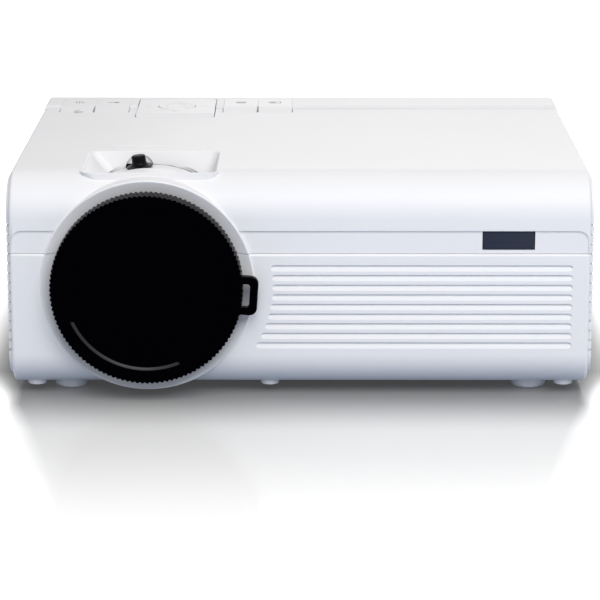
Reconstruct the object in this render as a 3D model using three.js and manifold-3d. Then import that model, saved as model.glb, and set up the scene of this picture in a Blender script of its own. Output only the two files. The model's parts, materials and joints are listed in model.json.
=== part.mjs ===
// Compact LCD projector: one panel, one LED, a folded light path and a manual focus ring.
// Millimetres, +Z up. x runs across, y from the front to the rear, z up.
// Pieces are modelled from the front face (y = 0), the middle (x = 0) and the underside (z = 0),
// and the last group stands the part on its feet with the origin below its middle.
import * as THREE from 'three';
import { mergeVertices } from 'three/addons/utils/BufferGeometryUtils.js';
import Module from 'manifold-3d';

const wasm = await Module();
wasm.setup();

// Gaps and cuts that every piece shares
const CLEAR = 0.3;
const OVERRUN = 5;

// Lens barrel and the fixed tube round it; their radii lead outwards to the bezel
const BARREL_R = 29;
const BARREL_WALL = 2;
const BARREL_FRONT_Y = 3;
const SEAT_STEP = 1.2;
const FRONT_GLASS_INSET = 3.4;
const MIDDLE_GLASS_INSET = 18;
const REAR_GLASS_INSET = 9.5;
const GLASS_EDGE_T = 3.4;
const FRONT_GLASS_SAG = 3.6;
const MIDDLE_GLASS_SAG = 1.6;
const REAR_GLASS_SAG = 2.8;
const RETAINER_T = 1.6;
const RETAINER_WIDTH = 1.8;
const PIN_R = 1.2;
const PIN_REACH = 3.2;
const TUBE_WALL = 1.3;
const TUBE_FRONT_Y = -4.6;
const TUBE_FLANGE_T = 2.4;
const TUBE_FLANGE_REACH = 3.2;
const TUBE_R = BARREL_R + CLEAR + TUBE_WALL;
const TUBE_FLANGE_R = TUBE_R + TUBE_FLANGE_REACH;

// Focus ring with its helical cams, and the knob on it
const RING_WALL = 3.3;
const RING_L = 15.6;
const CAM_COUNT = 3;
const CAM_BASE_ANGLE = 60;
const CAM_SWEEP_ANGLE = 40;
const CAM_LOW_ANGLE = 12;
const CAM_TRAVEL = 4;
const CAM_STEPS = 4;
const KNOB_ANGLE = -7;
const KNOB_INSET = 5.2;
const KNOB_BASE_R = 4.2;
const KNOB_BASE_H = 1.7;
const KNOB_STEM_R = 2.4;
const KNOB_H = 4.6;
const KNOB_CHAMFER = 0.5;
const RING_R = TUBE_R + CLEAR + RING_WALL;
const KNOB_TOP_R = RING_R + KNOB_H;

// Lens cap
const CAP_SKIRT_T = 2;
const CAP_DEPTH = 7.6;
const CAP_FACE_T = 1.6;
const CAP_FACE_GAP = 0.8;
const CAP_RIM_W = 4.9;
const CAP_DISC_DROP = 0.5;
const CAP_TEETH = 60;
const CAP_TOOTH_DEPTH = 0.45;
const CAP_CHAMFER = 0.5;
const LUG_REACH = 5.1;
const LUG_HALF_H = 7.3;
const LUG_TOP_HALF_H = 5.2;
const LUG_T = 2.6;
const LUG_DROP = 1;
const LUG_SLOT_GAP = 0.7;
const LUG_SLOT_W = 2;
const LUG_SLOT_HALF_H = 4.2;
const CAP_R = TUBE_R + CLEAR + CAP_SKIRT_T;
const CAP_FRONT_Y = TUBE_FRONT_Y - CAP_FACE_GAP - CAP_FACE_T;
const CAP_DISC_R = CAP_R - CAP_RIM_W;
const LUG_OUT = CAP_R + LUG_REACH;
const LUG_SLOT_IN = CAP_R + LUG_SLOT_GAP;

// Bezel: a ring with a dished mouth, and an arch that runs back to the focus ring
const DISH_GAP = 1;
const DISH_DEPTH = 2.4;
const BEZEL_RIM_W = 2.6;
const BEZEL_PROUD = 0.6;
const BEZEL_BEAD = 0.7;
const BEZEL_FLOOR_T = 1.6;
const BEZEL_SIDE_GAP = 10.5;
const BEZEL_TOP_GAP = 1.5;
const ARCH_WALL = 1.7;
const ARCH_REAR_Y = 24;
const DISH_R = CAP_R + DISH_GAP;
const BEZEL_R = DISH_R + BEZEL_RIM_W;
const ARCH_R = RING_R + CLEAR + ARCH_WALL;
const RING_FRONT_Y = ARCH_REAR_Y + CLEAR * 2;
const RING_REAR_Y = RING_FRONT_Y + RING_L;
const TUBE_REAR_Y = RING_REAR_Y + CLEAR;
const PIN_Y = (RING_FRONT_Y + RING_REAR_Y) / 2;
const KNOB_Y = RING_REAR_Y - KNOB_INSET;

// Housing: the bezel stands level with the underside, and its top sets the height
const BODY_W = 198.6;
const BODY_D = 151;
const LENS_Z = BEZEL_R;
const BODY_H = LENS_Z + BEZEL_R + BEZEL_TOP_GAP;
const WALL = 2.2;
const TOP_FILLET = 15;
const BOTTOM_FILLET = 12;
const REAR_FILLET = 5;
const CORNER_RADIUS = 1.8;
const COVER_H = 26.9;
const BAND_H = 8;
const BAND_RECESS = 0.6;
const BAND_END_RADIUS = 3.5;
const BAND_END_INSET = 0.9;
const STRIP_RISE = 0.9;
const LIP_H = 2;
const LIP_T = 1;
const LIP_ROOT = 3;
const LIP_FRONT_Y = 20;
const LIP_REAR_INSET = 10;
const HALF_W = BODY_W / 2;
const INNER_HALF_W = HALF_W - WALL;
const LENS_X = BEZEL_R + BEZEL_SIDE_GAP - HALF_W;
const SEAM_Z = BODY_H - COVER_H;
const BAND_TOP_Z = SEAM_Z + BAND_H;
const STRIP_H = BODY_H + STRIP_RISE;
const ROOF_Z = BODY_H - WALL;

// Case screws with their bosses and posts
const BOSS_WALL = 0.5;
const BOSS_H = 13;
const BOSS_SIDE_INSET = 7.6;
const BOSS_FRONT_Y = 10.7;
const BOSS_REAR_INSET = 5.2;
const BOSS_LENS_GAP = 5.3;
const POST_R = 2.6;
const POST_REAR_TOP_GAP = 9.5;
const HEAD_R = 2.4;
const HEAD_H = 2;
const HEAD_SINK = 3;
const SCREW_R = 1.1;
const SCREW_L = 16;
const PILOT_R = 1.4;
const BOSS_R = HEAD_R + CLEAR + BOSS_WALL;
const BOSS_REAR_Y = BODY_D - BOSS_REAR_INSET;
const BOSS_SIDE_X = HALF_W - BOSS_SIDE_INSET;
const POST_REAR_TOP_Z = BODY_H - POST_REAR_TOP_GAP;

// Focus window in the top cover
const POCKET_LEFT_REACH = 23.3;
const POCKET_RIGHT_REACH = 24.7;
const POCKET_FRONT_Y = 6.6;
const POCKET_REAR_GAP = 4.8;
const POCKET_RIM = 1.3;
const POCKET_RADIUS = 3;
const POCKET_DEPTH = 8;
const POCKET_LEFT_DRAFT = 6.5;
const POCKET_RIGHT_DRAFT = 2.2;
const POCKET_FRONT_DRAFT = 0.8;
const POCKET_REAR_DRAFT = 2.4;
const POCKET_WALL = 1.5;
const NOTCH_R = 5.2;
const POCKET_REAR_Y = RING_REAR_Y + POCKET_REAR_GAP;

// Front grille, infra-red window and side louvres
const GROOVE_COUNT = 9;
const GROOVE_PITCH = 3.41;
const GROOVE_DROP = 4;
const GROOVE_H = 2.1;
const GROOVE_DEPTH = 1.3;
const GROOVE_MARGIN = 6.1;
const GROOVE_GAP = 6.4;
const IR_W = 17.5;
const IR_H = 6.1;
const IR_MARGIN = 19.4;
const IR_RISE = 1.6;
const IR_FLANGE = 1.1;
const IR_FLANGE_T = 1;
const IR_SINK = 0.15;
const RECEIVER_T = 1;
const RECEIVER_DOME_R = 1.6;
const PANEL_PROUD = 1.2;
const PANEL_BACK = 0.8;
const PANEL_INSET = 3;
const LOUVRE_COUNT = 14;
const LOUVRE_PITCH = 3.4;
const LOUVRE_DROP = 2.4;
const LOUVRE_SLOT = 0.9;
const LOUVRE_REAR_GAP = 15;
const GROOVE_TOP_Z = SEAM_Z - GROOVE_DROP;
const GROOVE_RIGHT = HALF_W - GROOVE_MARGIN;
const IR_RIGHT = HALF_W - IR_MARGIN;
const IR_LEFT = IR_RIGHT - IR_W;
const IR_LOW = SEAM_Z + IR_RISE;
const IR_HIGH = IR_LOW + IR_H;
const LOUVRE_TOP_Z = BODY_H - TOP_FILLET - LOUVRE_DROP;

// Keys and direction pad, laid out from the left and the rear
const KEY_MARGIN = 6.7;
const KEY_SPLIT = 0.4;
const POWER_KEY_W = 12.7;
const BACK_KEY_W = 13.2;
const MENU_KEY_W = 13;
const SOURCE_KEY_W = 13;
const KEY_L = 23.7;
const KEY_RAMP = 7.2;
const KEY_REAR_GAP = 6;
const KEY_TRAVEL = 0.6;
const KEY_FLANGE = 0.8;
const KEY_FLANGE_T = 1;
const KEY_STEM_R = 1.6;
const PAD_W = 29.8;
const PAD_L = 34;
const PAD_LEFT_BAR = 3.4;
const PAD_RIGHT_BAR = 3.3;
const PAD_RAMP = 3.2;
const PAD_RADIUS = 1.2;
const PAD_STEM_INSET = 2.9;
const STRIP_SETBACK = 2.7;
const OK_R = 7.1;
const OK_REAR_GAP = 15.5;
const OK_RISE = 0.25;
const OK_T = 1.8;
const OK_STEM_R = 1.8;
const GIMBAL_STEM_GAP = 1.2;
const GIMBAL_BORE_R = 2.6;
const GIMBAL_T = 1.5;
const GIMBAL_GAP = 2.2;
const LED_INSET = 7.1;
const LED_R = 1.4;
const LED_FLANGE_R = 2.1;
const KEY_REAR_Y = BODY_D - KEY_REAR_GAP;
const KEY_FRONT_Y = KEY_REAR_Y - KEY_L;
const KEY_RAMP_Y = KEY_FRONT_Y + KEY_RAMP;
const STRIP_Y = KEY_RAMP_Y + STRIP_SETBACK;
const PAD_FRONT_Y = KEY_REAR_Y - PAD_L;
const OK_Y = KEY_REAR_Y - OK_REAR_GAP;
const POWER_KEY_X = KEY_MARGIN - HALF_W;
const BACK_KEY_X = POWER_KEY_X + POWER_KEY_W + KEY_SPLIT;
const PAD_LEFT = BACK_KEY_X + BACK_KEY_W + PAD_LEFT_BAR;
const PAD_RIGHT = PAD_LEFT + PAD_W;
const MENU_KEY_X = PAD_RIGHT + PAD_RIGHT_BAR;
const SOURCE_KEY_X = MENU_KEY_X + MENU_KEY_W + KEY_SPLIT;
const KEY_SPANS = [
  [POWER_KEY_X, POWER_KEY_X + POWER_KEY_W],
  [BACK_KEY_X, BACK_KEY_X + BACK_KEY_W],
  [MENU_KEY_X, MENU_KEY_X + MENU_KEY_W],
  [SOURCE_KEY_X, SOURCE_KEY_X + SOURCE_KEY_W],
];
const LED_X = POWER_KEY_X + LED_INSET;
const PAD_STEM_OUT = PAD_W / 2 - PAD_STEM_INSET;
const GIMBAL_R = PAD_STEM_OUT - KEY_STEM_R - GIMBAL_STEM_GAP;

// Circuit board under the keys
const BOARD_T = 1.4;
const SWITCH_GAP = 0.4;
const KEY_BOARD_MARGIN = 1.4;
const KEY_BOARD_FRONT_GAP = 2;
const KEY_BOARD_REAR_GAP = 2.4;
const SWITCH_HALF = 2.6;
const SWITCH_H = 1.1;
const SWITCH_CAP_R = 1.1;
const SWITCH_CAP_H = 0.5;
const HANGER_R = 1;
const KEY_LOW_Z = ROOF_Z - CLEAR - KEY_FLANGE_T;
const SWITCH_TOP_Z = KEY_LOW_Z - KEY_TRAVEL - SWITCH_GAP;
const KEY_BOARD_Z = SWITCH_TOP_Z - SWITCH_CAP_H - SWITCH_H - BOARD_T;
const KEY_BOARD_LEFT = KEY_SPANS[0][0] - KEY_BOARD_MARGIN;
const KEY_BOARD_RIGHT = KEY_SPANS[3][1] + KEY_BOARD_MARGIN;
const KEY_BOARD_FRONT_Y = PAD_FRONT_Y + KEY_BOARD_FRONT_GAP;
const KEY_BOARD_REAR_Y = KEY_REAR_Y - KEY_BOARD_REAR_GAP;

// Main board and the sockets on it, measured from the right and the rear
const STAND_H = 3;
const STAND_R = 4;
const MAIN_EDGE = 0.5;
const MAIN_DROP = 1.6;
const MAIN_REAR_GAP = 14.4;
const CHIP = 13;
const CHIP_T = 1.6;
const CHIP_COUNT = 3;
const SOCKET_Z = 21;
const SOCKET_WALL = 0.6;
const SOCKET_TONGUE = 1;
const SOCKET_SINK = 0.6;
const HDMI_GAP = 8.9;
const HDMI_W = 15;
const HDMI_H = 5.6;
const USB_GAP = 5.8;
const USB_W = 13.2;
const USB_H = 5.8;
const CARD_OFFSET = 14;
const CARD_Z = 36;
const CARD_W = 13;
const CARD_H = 2.4;
const JACK_R = 3;
const JACK_BORE_R = 1.8;
const JACK_BODY_HALF = 3.6;
const JACK_PITCH = 9;
const PHONES_GAP = 2;
const INLET_GAP = 0.7;
const INLET_W = 20;
const INLET_H = 12;
const INLET_D = 14;
const INLET_RIM = 1.4;
const INLET_DEPTH = 10;
const INLET_PIN_R = 1.2;
const INLET_PIN_GAP = 8;
const INLET_PIN_L = 7;
const IO_LEFT_GAP = 2.5;
const IO_RIGHT_GAP = 0.5;
const IO_EDGE = 3;
const IO_FLANGE = 0.9;
const IO_FLANGE_T = 1.4;
const FLOOR_Z = WALL + STAND_H;
const MAIN_HIGH_Z = SEAM_Z - MAIN_DROP;
const MAIN_Y = BODY_D - MAIN_REAR_GAP;
const INLET_X = BOSS_SIDE_X - POST_R - INLET_GAP - INLET_RIM - INLET_W / 2;
const PHONES_X = INLET_X - INLET_W / 2 - INLET_RIM - PHONES_GAP - JACK_BODY_HALF;
const AV_X = PHONES_X - JACK_PITCH;
const USB_X = AV_X - JACK_BODY_HALF - USB_GAP - USB_W / 2;
const HDMI_X = USB_X - USB_W / 2 - HDMI_GAP - HDMI_W / 2;
const CARD_X = HDMI_X - CARD_OFFSET;
const MAIN_LEFT = CARD_X - CARD_W / 2 - MAIN_EDGE;
const MAIN_RIGHT = PHONES_X + JACK_BODY_HALF + MAIN_EDGE;
const IO_LEFT = CARD_X - CARD_W / 2 - IO_LEFT_GAP;
const IO_RIGHT = PHONES_X + JACK_BODY_HALF + IO_RIGHT_GAP;
const IO_LOW = SOCKET_Z - JACK_BODY_HALF - IO_EDGE;
const IO_HIGH = CARD_Z + CARD_H / 2 + IO_EDGE;
const IO_BACK_Y = BODY_D - WALL - CLEAR - IO_FLANGE_T;

// Speaker behind the rear wall
const SPEAKER_INSET = 28;
const SPEAKER_Z = 24;
const SPEAKER_R = 14;
const SPEAKER_DEPTH = 9;
const SPEAKER_RIM = 2;
const SPEAKER_SLOTS = 7;
const SPEAKER_SLOT_W = 1.6;
const SPEAKER_SLOT_PITCH = 3.2;
const SPEAKER_X = SPEAKER_INSET - HALF_W;
const SPEAKER_EDGE_X = SPEAKER_X + SPEAKER_R + SPEAKER_RIM;
const SCREW_PLACES = [
  [LENS_X - BEZEL_R - CLEAR - POST_R, BOSS_FRONT_Y],
  [LENS_X + BEZEL_R + BOSS_LENS_GAP, BOSS_FRONT_Y],
  [BOSS_SIDE_X, BOSS_FRONT_Y],
  [-BOSS_SIDE_X, BOSS_REAR_Y],
  [(SPEAKER_EDGE_X + IO_LEFT - IO_FLANGE) / 2, BOSS_REAR_Y],
  [BOSS_SIDE_X, BOSS_REAR_Y],
];

// Optical chassis between the lens tube and the main board
const CHASSIS_WALL = 1.8;
const CHASSIS_REAR_GAP = 11.8;
const LID_T = 1.4;
const LID_GAP = 2.2;
const CHASSIS_FRONT_Y = TUBE_REAR_Y + TUBE_FLANGE_T + CLEAR;
const CHASSIS_REAR_Y = MAIN_Y - CHASSIS_REAR_GAP;
const CHASSIS_TOP_Z = KEY_BOARD_Z - LID_GAP - LID_T - CLEAR;
const FOLD_Y = (CHASSIS_FRONT_Y + CHASSIS_REAR_Y) / 2;
const BARREL_REAR_Y = CHASSIS_FRONT_Y + CHASSIS_WALL;
const FRONT_GLASS_Y = BARREL_FRONT_Y + FRONT_GLASS_INSET;
const MIDDLE_GLASS_Y = BARREL_FRONT_Y + MIDDLE_GLASS_INSET;
const REAR_GLASS_Y = BARREL_REAR_Y - REAR_GLASS_INSET;

// Lamp, heat sink and fans, laid out from the right wall inwards
const FAN_FLOOR_GAP = 4.3;
const INTAKE_SIZE = 50;
const INTAKE_POST_GAP = 3.7;
const FAN_DEPTH = 10;
const FAN_WALL = 1.6;
const FAN_HUB_SHARE = 0.24;
const FAN_BLADES = 7;
const FAN_STRUTS = 3;
const FAN_STRUT_ANGLE = 30;
const BLADE_T = 1.2;
const BLADE_ANGLE = 38;
const BLADE_GAP = 0.8;
const STRUT_W = 3.2;
const FAN_PLATE_T = 1.5;
const AXLE_R = 1.2;
const FAN_SCREW_R = 1.7;
const FAN_CORNER = 4;
const SINK_AIR_SHARE = 0.1213;
const SINK_W = 60;
const SINK_H = 54;
const SINK_BASE_T = 5;
const SINK_DEPTH = 27;
const SINK_FINS = 11;
const SINK_FIN_T = 1.2;
const LED_PLATE = 40;
const LED_PLATE_T = 1.6;
const EMITTER = 12;
const EMITTER_T = 1.2;
const EXHAUST_SIZE = (LENS_Z - WALL - FAN_FLOOR_GAP) * 2;
const FAN_X = INNER_HALF_W - CLEAR - FAN_DEPTH;
const SINK_X = FAN_X - SINK_DEPTH - (FAN_X - LENS_X - SINK_DEPTH) * SINK_AIR_SHARE;
const LED_PLATE_X = SINK_X - CLEAR - LED_PLATE_T;
const CHASSIS_RIGHT = LED_PLATE_X - CLEAR;
const INTAKE_Y = BOSS_REAR_Y - POST_R - INTAKE_POST_GAP - INTAKE_SIZE / 2;

// Light path inside the chassis, from the folding mirror to the condenser
const MIRROR_W = 68;
const MIRROR_SIDE_GAP = 6.1;
const MIRROR_GAP = 3.5;
const MIRROR_T = 2;
const MIRROR_ANGLE = 45;
const FRONT_FRESNEL_SHARE = 0.0547;
const LCD_SHARE = 0.204;
const REAR_FRESNEL_SHARE = 0.3532;
const HEAT_GLASS_SHARE = 0.476;
const GLASS_SIDE_GAP = 1;
const GLASS_TOP_GAP = 1.8;
const LCD_T = 2.2;
const LCD_FRAME = 4;
const FRESNEL_T = 2;
const FRESNEL_RINGS = 3;
const FRESNEL_DEPTH = 0.5;
const HEAT_GLASS_T = 1.1;
const SLOT_RIB = 1.3;
const SLOT_RIB_REACH = 2.4;
const CONDENSER_R = 21;
const CONDENSER_SAG = 8;
const CONDENSER_EDGE_T = 2.4;
const CONDENSER_GAP = 5;
const MIRROR_REACH = MIRROR_W / 2 * Math.SQRT1_2;
const CHASSIS_LEFT = LENS_X - MIRROR_REACH - MIRROR_SIDE_GAP;
const FOLD_BACK = (MIRROR_T / 2 + CLEAR * 2 + CHASSIS_WALL) * Math.SQRT2;
const FOLD_LINE = FOLD_Y - LENS_X + FOLD_BACK;
const LIGHT_START_X = CHASSIS_REAR_Y - FOLD_LINE;
const LIGHT_L = CHASSIS_RIGHT - LIGHT_START_X;
const FRONT_FRESNEL_X = LIGHT_START_X + LIGHT_L * FRONT_FRESNEL_SHARE;
const LCD_X = LIGHT_START_X + LIGHT_L * LCD_SHARE;
const REAR_FRESNEL_X = LIGHT_START_X + LIGHT_L * REAR_FRESNEL_SHARE;
const HEAT_GLASS_X = LIGHT_START_X + LIGHT_L * HEAT_GLASS_SHARE;
const GLASS_W = CHASSIS_REAR_Y - CHASSIS_FRONT_Y - (CHASSIS_WALL + GLASS_SIDE_GAP) * 2;
const GLASS_LOW_Z = FLOOR_Z + CHASSIS_WALL + CLEAR;
const GLASS_HIGH_Z = CHASSIS_TOP_Z - GLASS_TOP_GAP;
const MIRROR_H = (LENS_Z - FLOOR_Z - CHASSIS_WALL - MIRROR_GAP) * 2;
const FRESNEL_R = (GLASS_HIGH_Z - GLASS_LOW_Z) / 2 - FRESNEL_T;

// Power board beside the lens tube
const POWER_LEFT_GAP = 9.8;
const POWER_RIGHT_GAP = 15.3;
const POWER_FRONT_Y = 7.5;
const POWER_REAR_GAP = 3.2;
const COIL_SIZE = 20;
const COIL_H = 17;
const CAN_R = 8;
const CAN_H = 26;
const POWER_LEFT = LENS_X + BEZEL_R + POWER_LEFT_GAP;
const POWER_RIGHT = HALF_W - POWER_RIGHT_GAP;
const POWER_REAR_Y = CHASSIS_FRONT_Y - POWER_REAR_GAP;

// Feet and the tripod insert
const FOOT_R = 6.15;
const FOOT_H = 3.5;
const FOOT_SIDE_INSET = 19.3;
const FOOT_END_INSET = 17.5;
const FOOT_EDGE = 0.8;
const INSERT_OFFSET = 32.3;
const INSERT_R = 4.4;
const INSERT_BORE_R = 3.1;
const INSERT_H = 4;
const INSERT_WALL = 2;
const FOOT_X = HALF_W - FOOT_SIDE_INSET;
const INSERT_X = LENS_X + INSERT_OFFSET;
const INSERT_Y = BODY_D / 2;

// Fineness of round forms, in steps for a full turn
const FINE = 32;
const ROUND = 16;
const COARSE = 8;
const ARC_STEPS = 6;
const CORNER_STEPS = 2;
const DOME_STEPS = 3;
const PANEL_STEPS = 4;
const STAND_STEPS = 6;
const MERGE = 1e-4;
const TURN = 360;

const FAR_BACK = BODY_D + OVERRUN;
const FAR_UP = STRIP_H + OVERRUN;
const deg = THREE.MathUtils.degToRad;

// Solids and meshes
function solid(geometry) {
  const bare = geometry.clone();
  bare.deleteAttribute('normal');
  bare.deleteAttribute('uv');
  const merged = mergeVertices(bare, MERGE);
  const vertProperties = merged.attributes.position.array;
  const triVerts = new Uint32Array(merged.index.array);
  return new wasm.Manifold(new wasm.Mesh({ numProp: 3, vertProperties, triVerts }));
}

function surface(body) {
  const { vertProperties, triVerts } = body.getMesh();
  const geometry = new THREE.BufferGeometry();
  geometry.setAttribute('position', new THREE.BufferAttribute(new Float32Array(vertProperties), 3));
  geometry.setIndex(new THREE.BufferAttribute(new Uint32Array(triVerts), 1));
  geometry.computeVertexNormals();
  return geometry;
}

function join(...bodies) {
  return bodies.reduce((whole, body) => whole.add(body));
}

function box(x0, x1, y0, y1, z0, z1) {
  const geometry = new THREE.BoxGeometry(x1 - x0, y1 - y0, z1 - z0);
  geometry.translate((x0 + x1) / 2, (y0 + y1) / 2, (z0 + z1) / 2);
  return solid(geometry);
}

function outline(points) {
  const shape = new THREE.Shape(points.map(([u, v]) => new THREE.Vector2(u, v)));
  return shape;
}

function roundRect(u0, u1, v0, v1, radius) {
  const r = Math.min(radius, (u1 - u0) / 2, (v1 - v0) / 2);
  const shape = new THREE.Shape();
  shape.absarc(u1 - r, v0 + r, r, -Math.PI / 2, 0);
  shape.absarc(u1 - r, v1 - r, r, 0, Math.PI / 2);
  shape.absarc(u0 + r, v1 - r, r, Math.PI / 2, Math.PI);
  shape.absarc(u0 + r, v0 + r, r, Math.PI, 1.5 * Math.PI);
  return shape;
}

// An outline swept along x, y or z, between two places on that axis
function sweep(shape, from, to, axis, steps = ARC_STEPS) {
  const settings = { depth: to - from, bevelEnabled: false, curveSegments: steps };
  const geometry = new THREE.ExtrudeGeometry(shape, settings);
  const turn = new THREE.Matrix4();
  const [X, Y, Z] = [0, 1, 2].map((i) => new THREE.Vector3().setComponent(i, 1));
  if (axis === 'x') turn.makeBasis(Y, Z, X).setPosition(from, 0, 0);
  if (axis === 'y') turn.makeBasis(X, Z, Y.negate()).setPosition(0, to, 0);
  if (axis === 'z') turn.makeTranslation(0, 0, from);
  geometry.applyMatrix4(turn);
  return solid(geometry);
}

// A profile of [radius, height] points turned about y, moved to the place given
function turned(profile, place = [0, 0, 0], steps = ROUND) {
  const area = THREE.ShapeUtils.area(profile.map(([r, h]) => new THREE.Vector2(r, h)));
  const ordered = area < 0 ? [...profile].reverse() : [...profile];
  const touchesAxis = ordered.findIndex(([r], i) => r === 0 && ordered.at(i - 1)[0] === 0);
  const start = touchesAxis < 0 ? 0 : touchesAxis;
  const loop = [...ordered.slice(start), ...ordered.slice(0, start)];
  if (touchesAxis < 0) loop.push(loop[0]);
  const points = loop.map(([r, h]) => new THREE.Vector2(r, h));
  return solid(new THREE.LatheGeometry(points, steps)).translate(place);
}

function pillar(r, z0, z1, x, y, steps = COARSE) {
  const body = turned([[0, z0], [r, z0], [r, z1], [0, z1]], [0, 0, 0], steps);
  return body.rotate([90, 0, 0]).translate([x, y, 0]);
}

function rod(r, y0, y1, x, z, steps = COARSE) {
  return turned([[0, y0], [r, y0], [r, y1], [0, y1]], [x, 0, z], steps);
}

function sleeve(rOut, rIn, y0, y1, x, z, steps = ROUND) {
  return turned([[rIn, y0], [rOut, y0], [rOut, y1], [rIn, y1]], [x, 0, z], steps);
}

// A closed skin over rings of points that have the same count, ordered anticlockwise from above
function loft(rings) {
  const count = rings[0].length;
  const position = rings.flat(2);
  const index = [];
  rings.slice(1).forEach((_, k) => {
    for (let i = 0; i < count; i += 1) {
      const j = (i + 1) % count;
      const [a, b] = [k * count + i, k * count + j];
      index.push(a, b, b + count, a, b + count, a + count);
    }
  });
  const last = (rings.length - 1) * count;
  for (let i = 1; i < count - 1; i += 1) {
    index.push(0, i + 1, i, last, last + i, last + i + 1);
  }
  const corner = (i) => new THREE.Vector3(...position.slice(index[i] * 3, index[i] * 3 + 3));
  let volume = 0;
  for (let i = 0; i < index.length; i += 3) {
    volume += corner(i).dot(corner(i + 1).cross(corner(i + 2)));
  }
  const geometry = new THREE.BufferGeometry();
  geometry.setAttribute('position', new THREE.Float32BufferAttribute(position, 3));
  geometry.setIndex(volume < 0 ? index.reverse() : index);
  return solid(geometry);
}

// A tapered block between two rounded rectangles, each [x0, x1, y0, y1, z]
function taper(low, high, radius) {
  const rings = [low, high].map(([x0, x1, y0, y1, z]) => {
    const corners = roundRect(x0, x1, y0, y1, radius).getPoints(ARC_STEPS / 2);
    return corners.slice(0, -1).map(({ x, y }) => [x, y, z]);
  });
  return loft(rings);
}

// A node of the part
function node(name, body, finish, place = [0, 0, 0]) {
  const mesh = new THREE.Mesh(surface(body), finish);
  mesh.name = name;
  mesh.position.set(...place);
  return mesh;
}

function finish(color, roughness, metalness = 0) {
  return new THREE.MeshStandardMaterial({ color, roughness, metalness });
}

const WHITE_PLASTIC = finish(0xeceef1, 0.5);
const SOFT_WHITE = finish(0xe4e6e8, 0.6);
const BLACK_PLASTIC = finish(0x0b0b0d, 0.45);
const DARK_PLASTIC = finish(0x1d1e21, 0.6);
const SMOKED = finish(0x262d3d, 0.15);
const CLEAR_GLASS = finish(0xcfe0e6, 0.05);
const COATED_GLASS = finish(0x9fb4d6, 0.05);
const MIRROR_GLASS = finish(0xd9dde0, 0.05, 1);
const PANEL_GLASS = finish(0x30343a, 0.2);
const ALUMINIUM = finish(0xb9bcc0, 0.35, 1);
const STEEL = finish(0x9a9da1, 0.3, 1);
const BRASS = finish(0xb89a4e, 0.35, 1);
const BOARD = finish(0x1f5a3a, 0.6);
const EMITTER_PLATE = finish(0xd8d9d2, 0.5);
const RUBBER = finish(0xdadcdc, 0.8);

// Housing outline seen from the side: rounded front edges, small rear ones
function sideOutline(inset, rise = 0) {
  const [y0, y1] = [inset, BODY_D - inset];
  const [z0, z1] = [inset, BODY_H + rise - inset];
  const [top, bottom, rear] = [TOP_FILLET, BOTTOM_FILLET, REAR_FILLET].map((r) => r - inset);
  const shape = new THREE.Shape();
  shape.absarc(y0 + bottom, z0 + bottom, bottom, Math.PI, 1.5 * Math.PI);
  shape.absarc(y1 - rear, z0 + rear, rear, -Math.PI / 2, 0);
  shape.absarc(y1 - rear, z1 - rear, rear, 0, Math.PI / 2);
  shape.absarc(y0 + top, z1 - top, top, Math.PI / 2, Math.PI);
  return shape;
}

function wide(y0, y1, z0, z1) {
  return box(-BODY_W, BODY_W, y0, y1, z0, z1);
}

// The outer form with its raised rear strip, hollowed to the wall
function housingShell() {
  const plan = sweep(roundRect(-HALF_W, HALF_W, 0, BODY_D, CORNER_RADIUS), -OVERRUN, FAR_UP, 'z',
    CORNER_STEPS);
  const body = sweep(sideOutline(0), -HALF_W, HALF_W, 'x');
  const strip = sweep(sideOutline(0, STRIP_RISE), -HALF_W, HALF_W, 'x');
  const raised = strip.intersect(wide(STRIP_Y, FAR_BACK, -OVERRUN, FAR_UP));
  const hollow = sweep(sideOutline(WALL), -INNER_HALF_W, INNER_HALF_W, 'x');
  return body.add(raised).intersect(plan).subtract(hollow);
}

// The sides are let in to take the louvre panels
function panelRecess(side) {
  const depth = PANEL_BACK + CLEAR;
  const [x0, x1] = side > 0 ? [HALF_W - depth, HALF_W + OVERRUN] : [-HALF_W - OVERRUN, depth - HALF_W];
  return sweep(sideOutline(PANEL_INSET - CLEAR), x0, x1, 'x', PANEL_STEPS);
}

// Bezel round the lens: a tube with a dished mouth, standing a little proud of the front
function bezel() {
  const tube = turned([
    [ARCH_R - ARCH_WALL, DISH_DEPTH], [ARCH_R - ARCH_WALL, ARCH_REAR_Y], [ARCH_R, ARCH_REAR_Y],
    [ARCH_R, TOP_FILLET], [BEZEL_R, TOP_FILLET], [BEZEL_R, BEZEL_BEAD - BEZEL_PROUD],
    [BEZEL_R - BEZEL_BEAD, -BEZEL_PROUD], [DISH_R, DISH_DEPTH],
  ], [LENS_X, 0, LENS_Z], FINE);
  const floor = sleeve(ARCH_R - ARCH_WALL / 2, TUBE_R + CLEAR, DISH_DEPTH, DISH_DEPTH + BEZEL_FLOOR_T,
    LENS_X, LENS_Z, FINE);
  return tube.add(floor);
}

function bezelBore() {
  return rod(BEZEL_R - BEZEL_BEAD, -OVERRUN, ARCH_REAR_Y, LENS_X, LENS_Z, FINE);
}

function focusClearance() {
  return rod(RING_R + CLEAR, ARCH_REAR_Y, CHASSIS_FRONT_Y, LENS_X, LENS_Z, FINE);
}

// Recessed band under the cover's front edge, with rounded upper ends
function frontBand() {
  const shape = roundRect(-HALF_W + BAND_END_INSET, HALF_W - BAND_END_INSET,
    SEAM_Z - BAND_TOP_Z + SEAM_Z, BAND_TOP_Z, BAND_END_RADIUS);
  return sweep(shape, -OVERRUN, BAND_RECESS, 'y');
}

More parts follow.
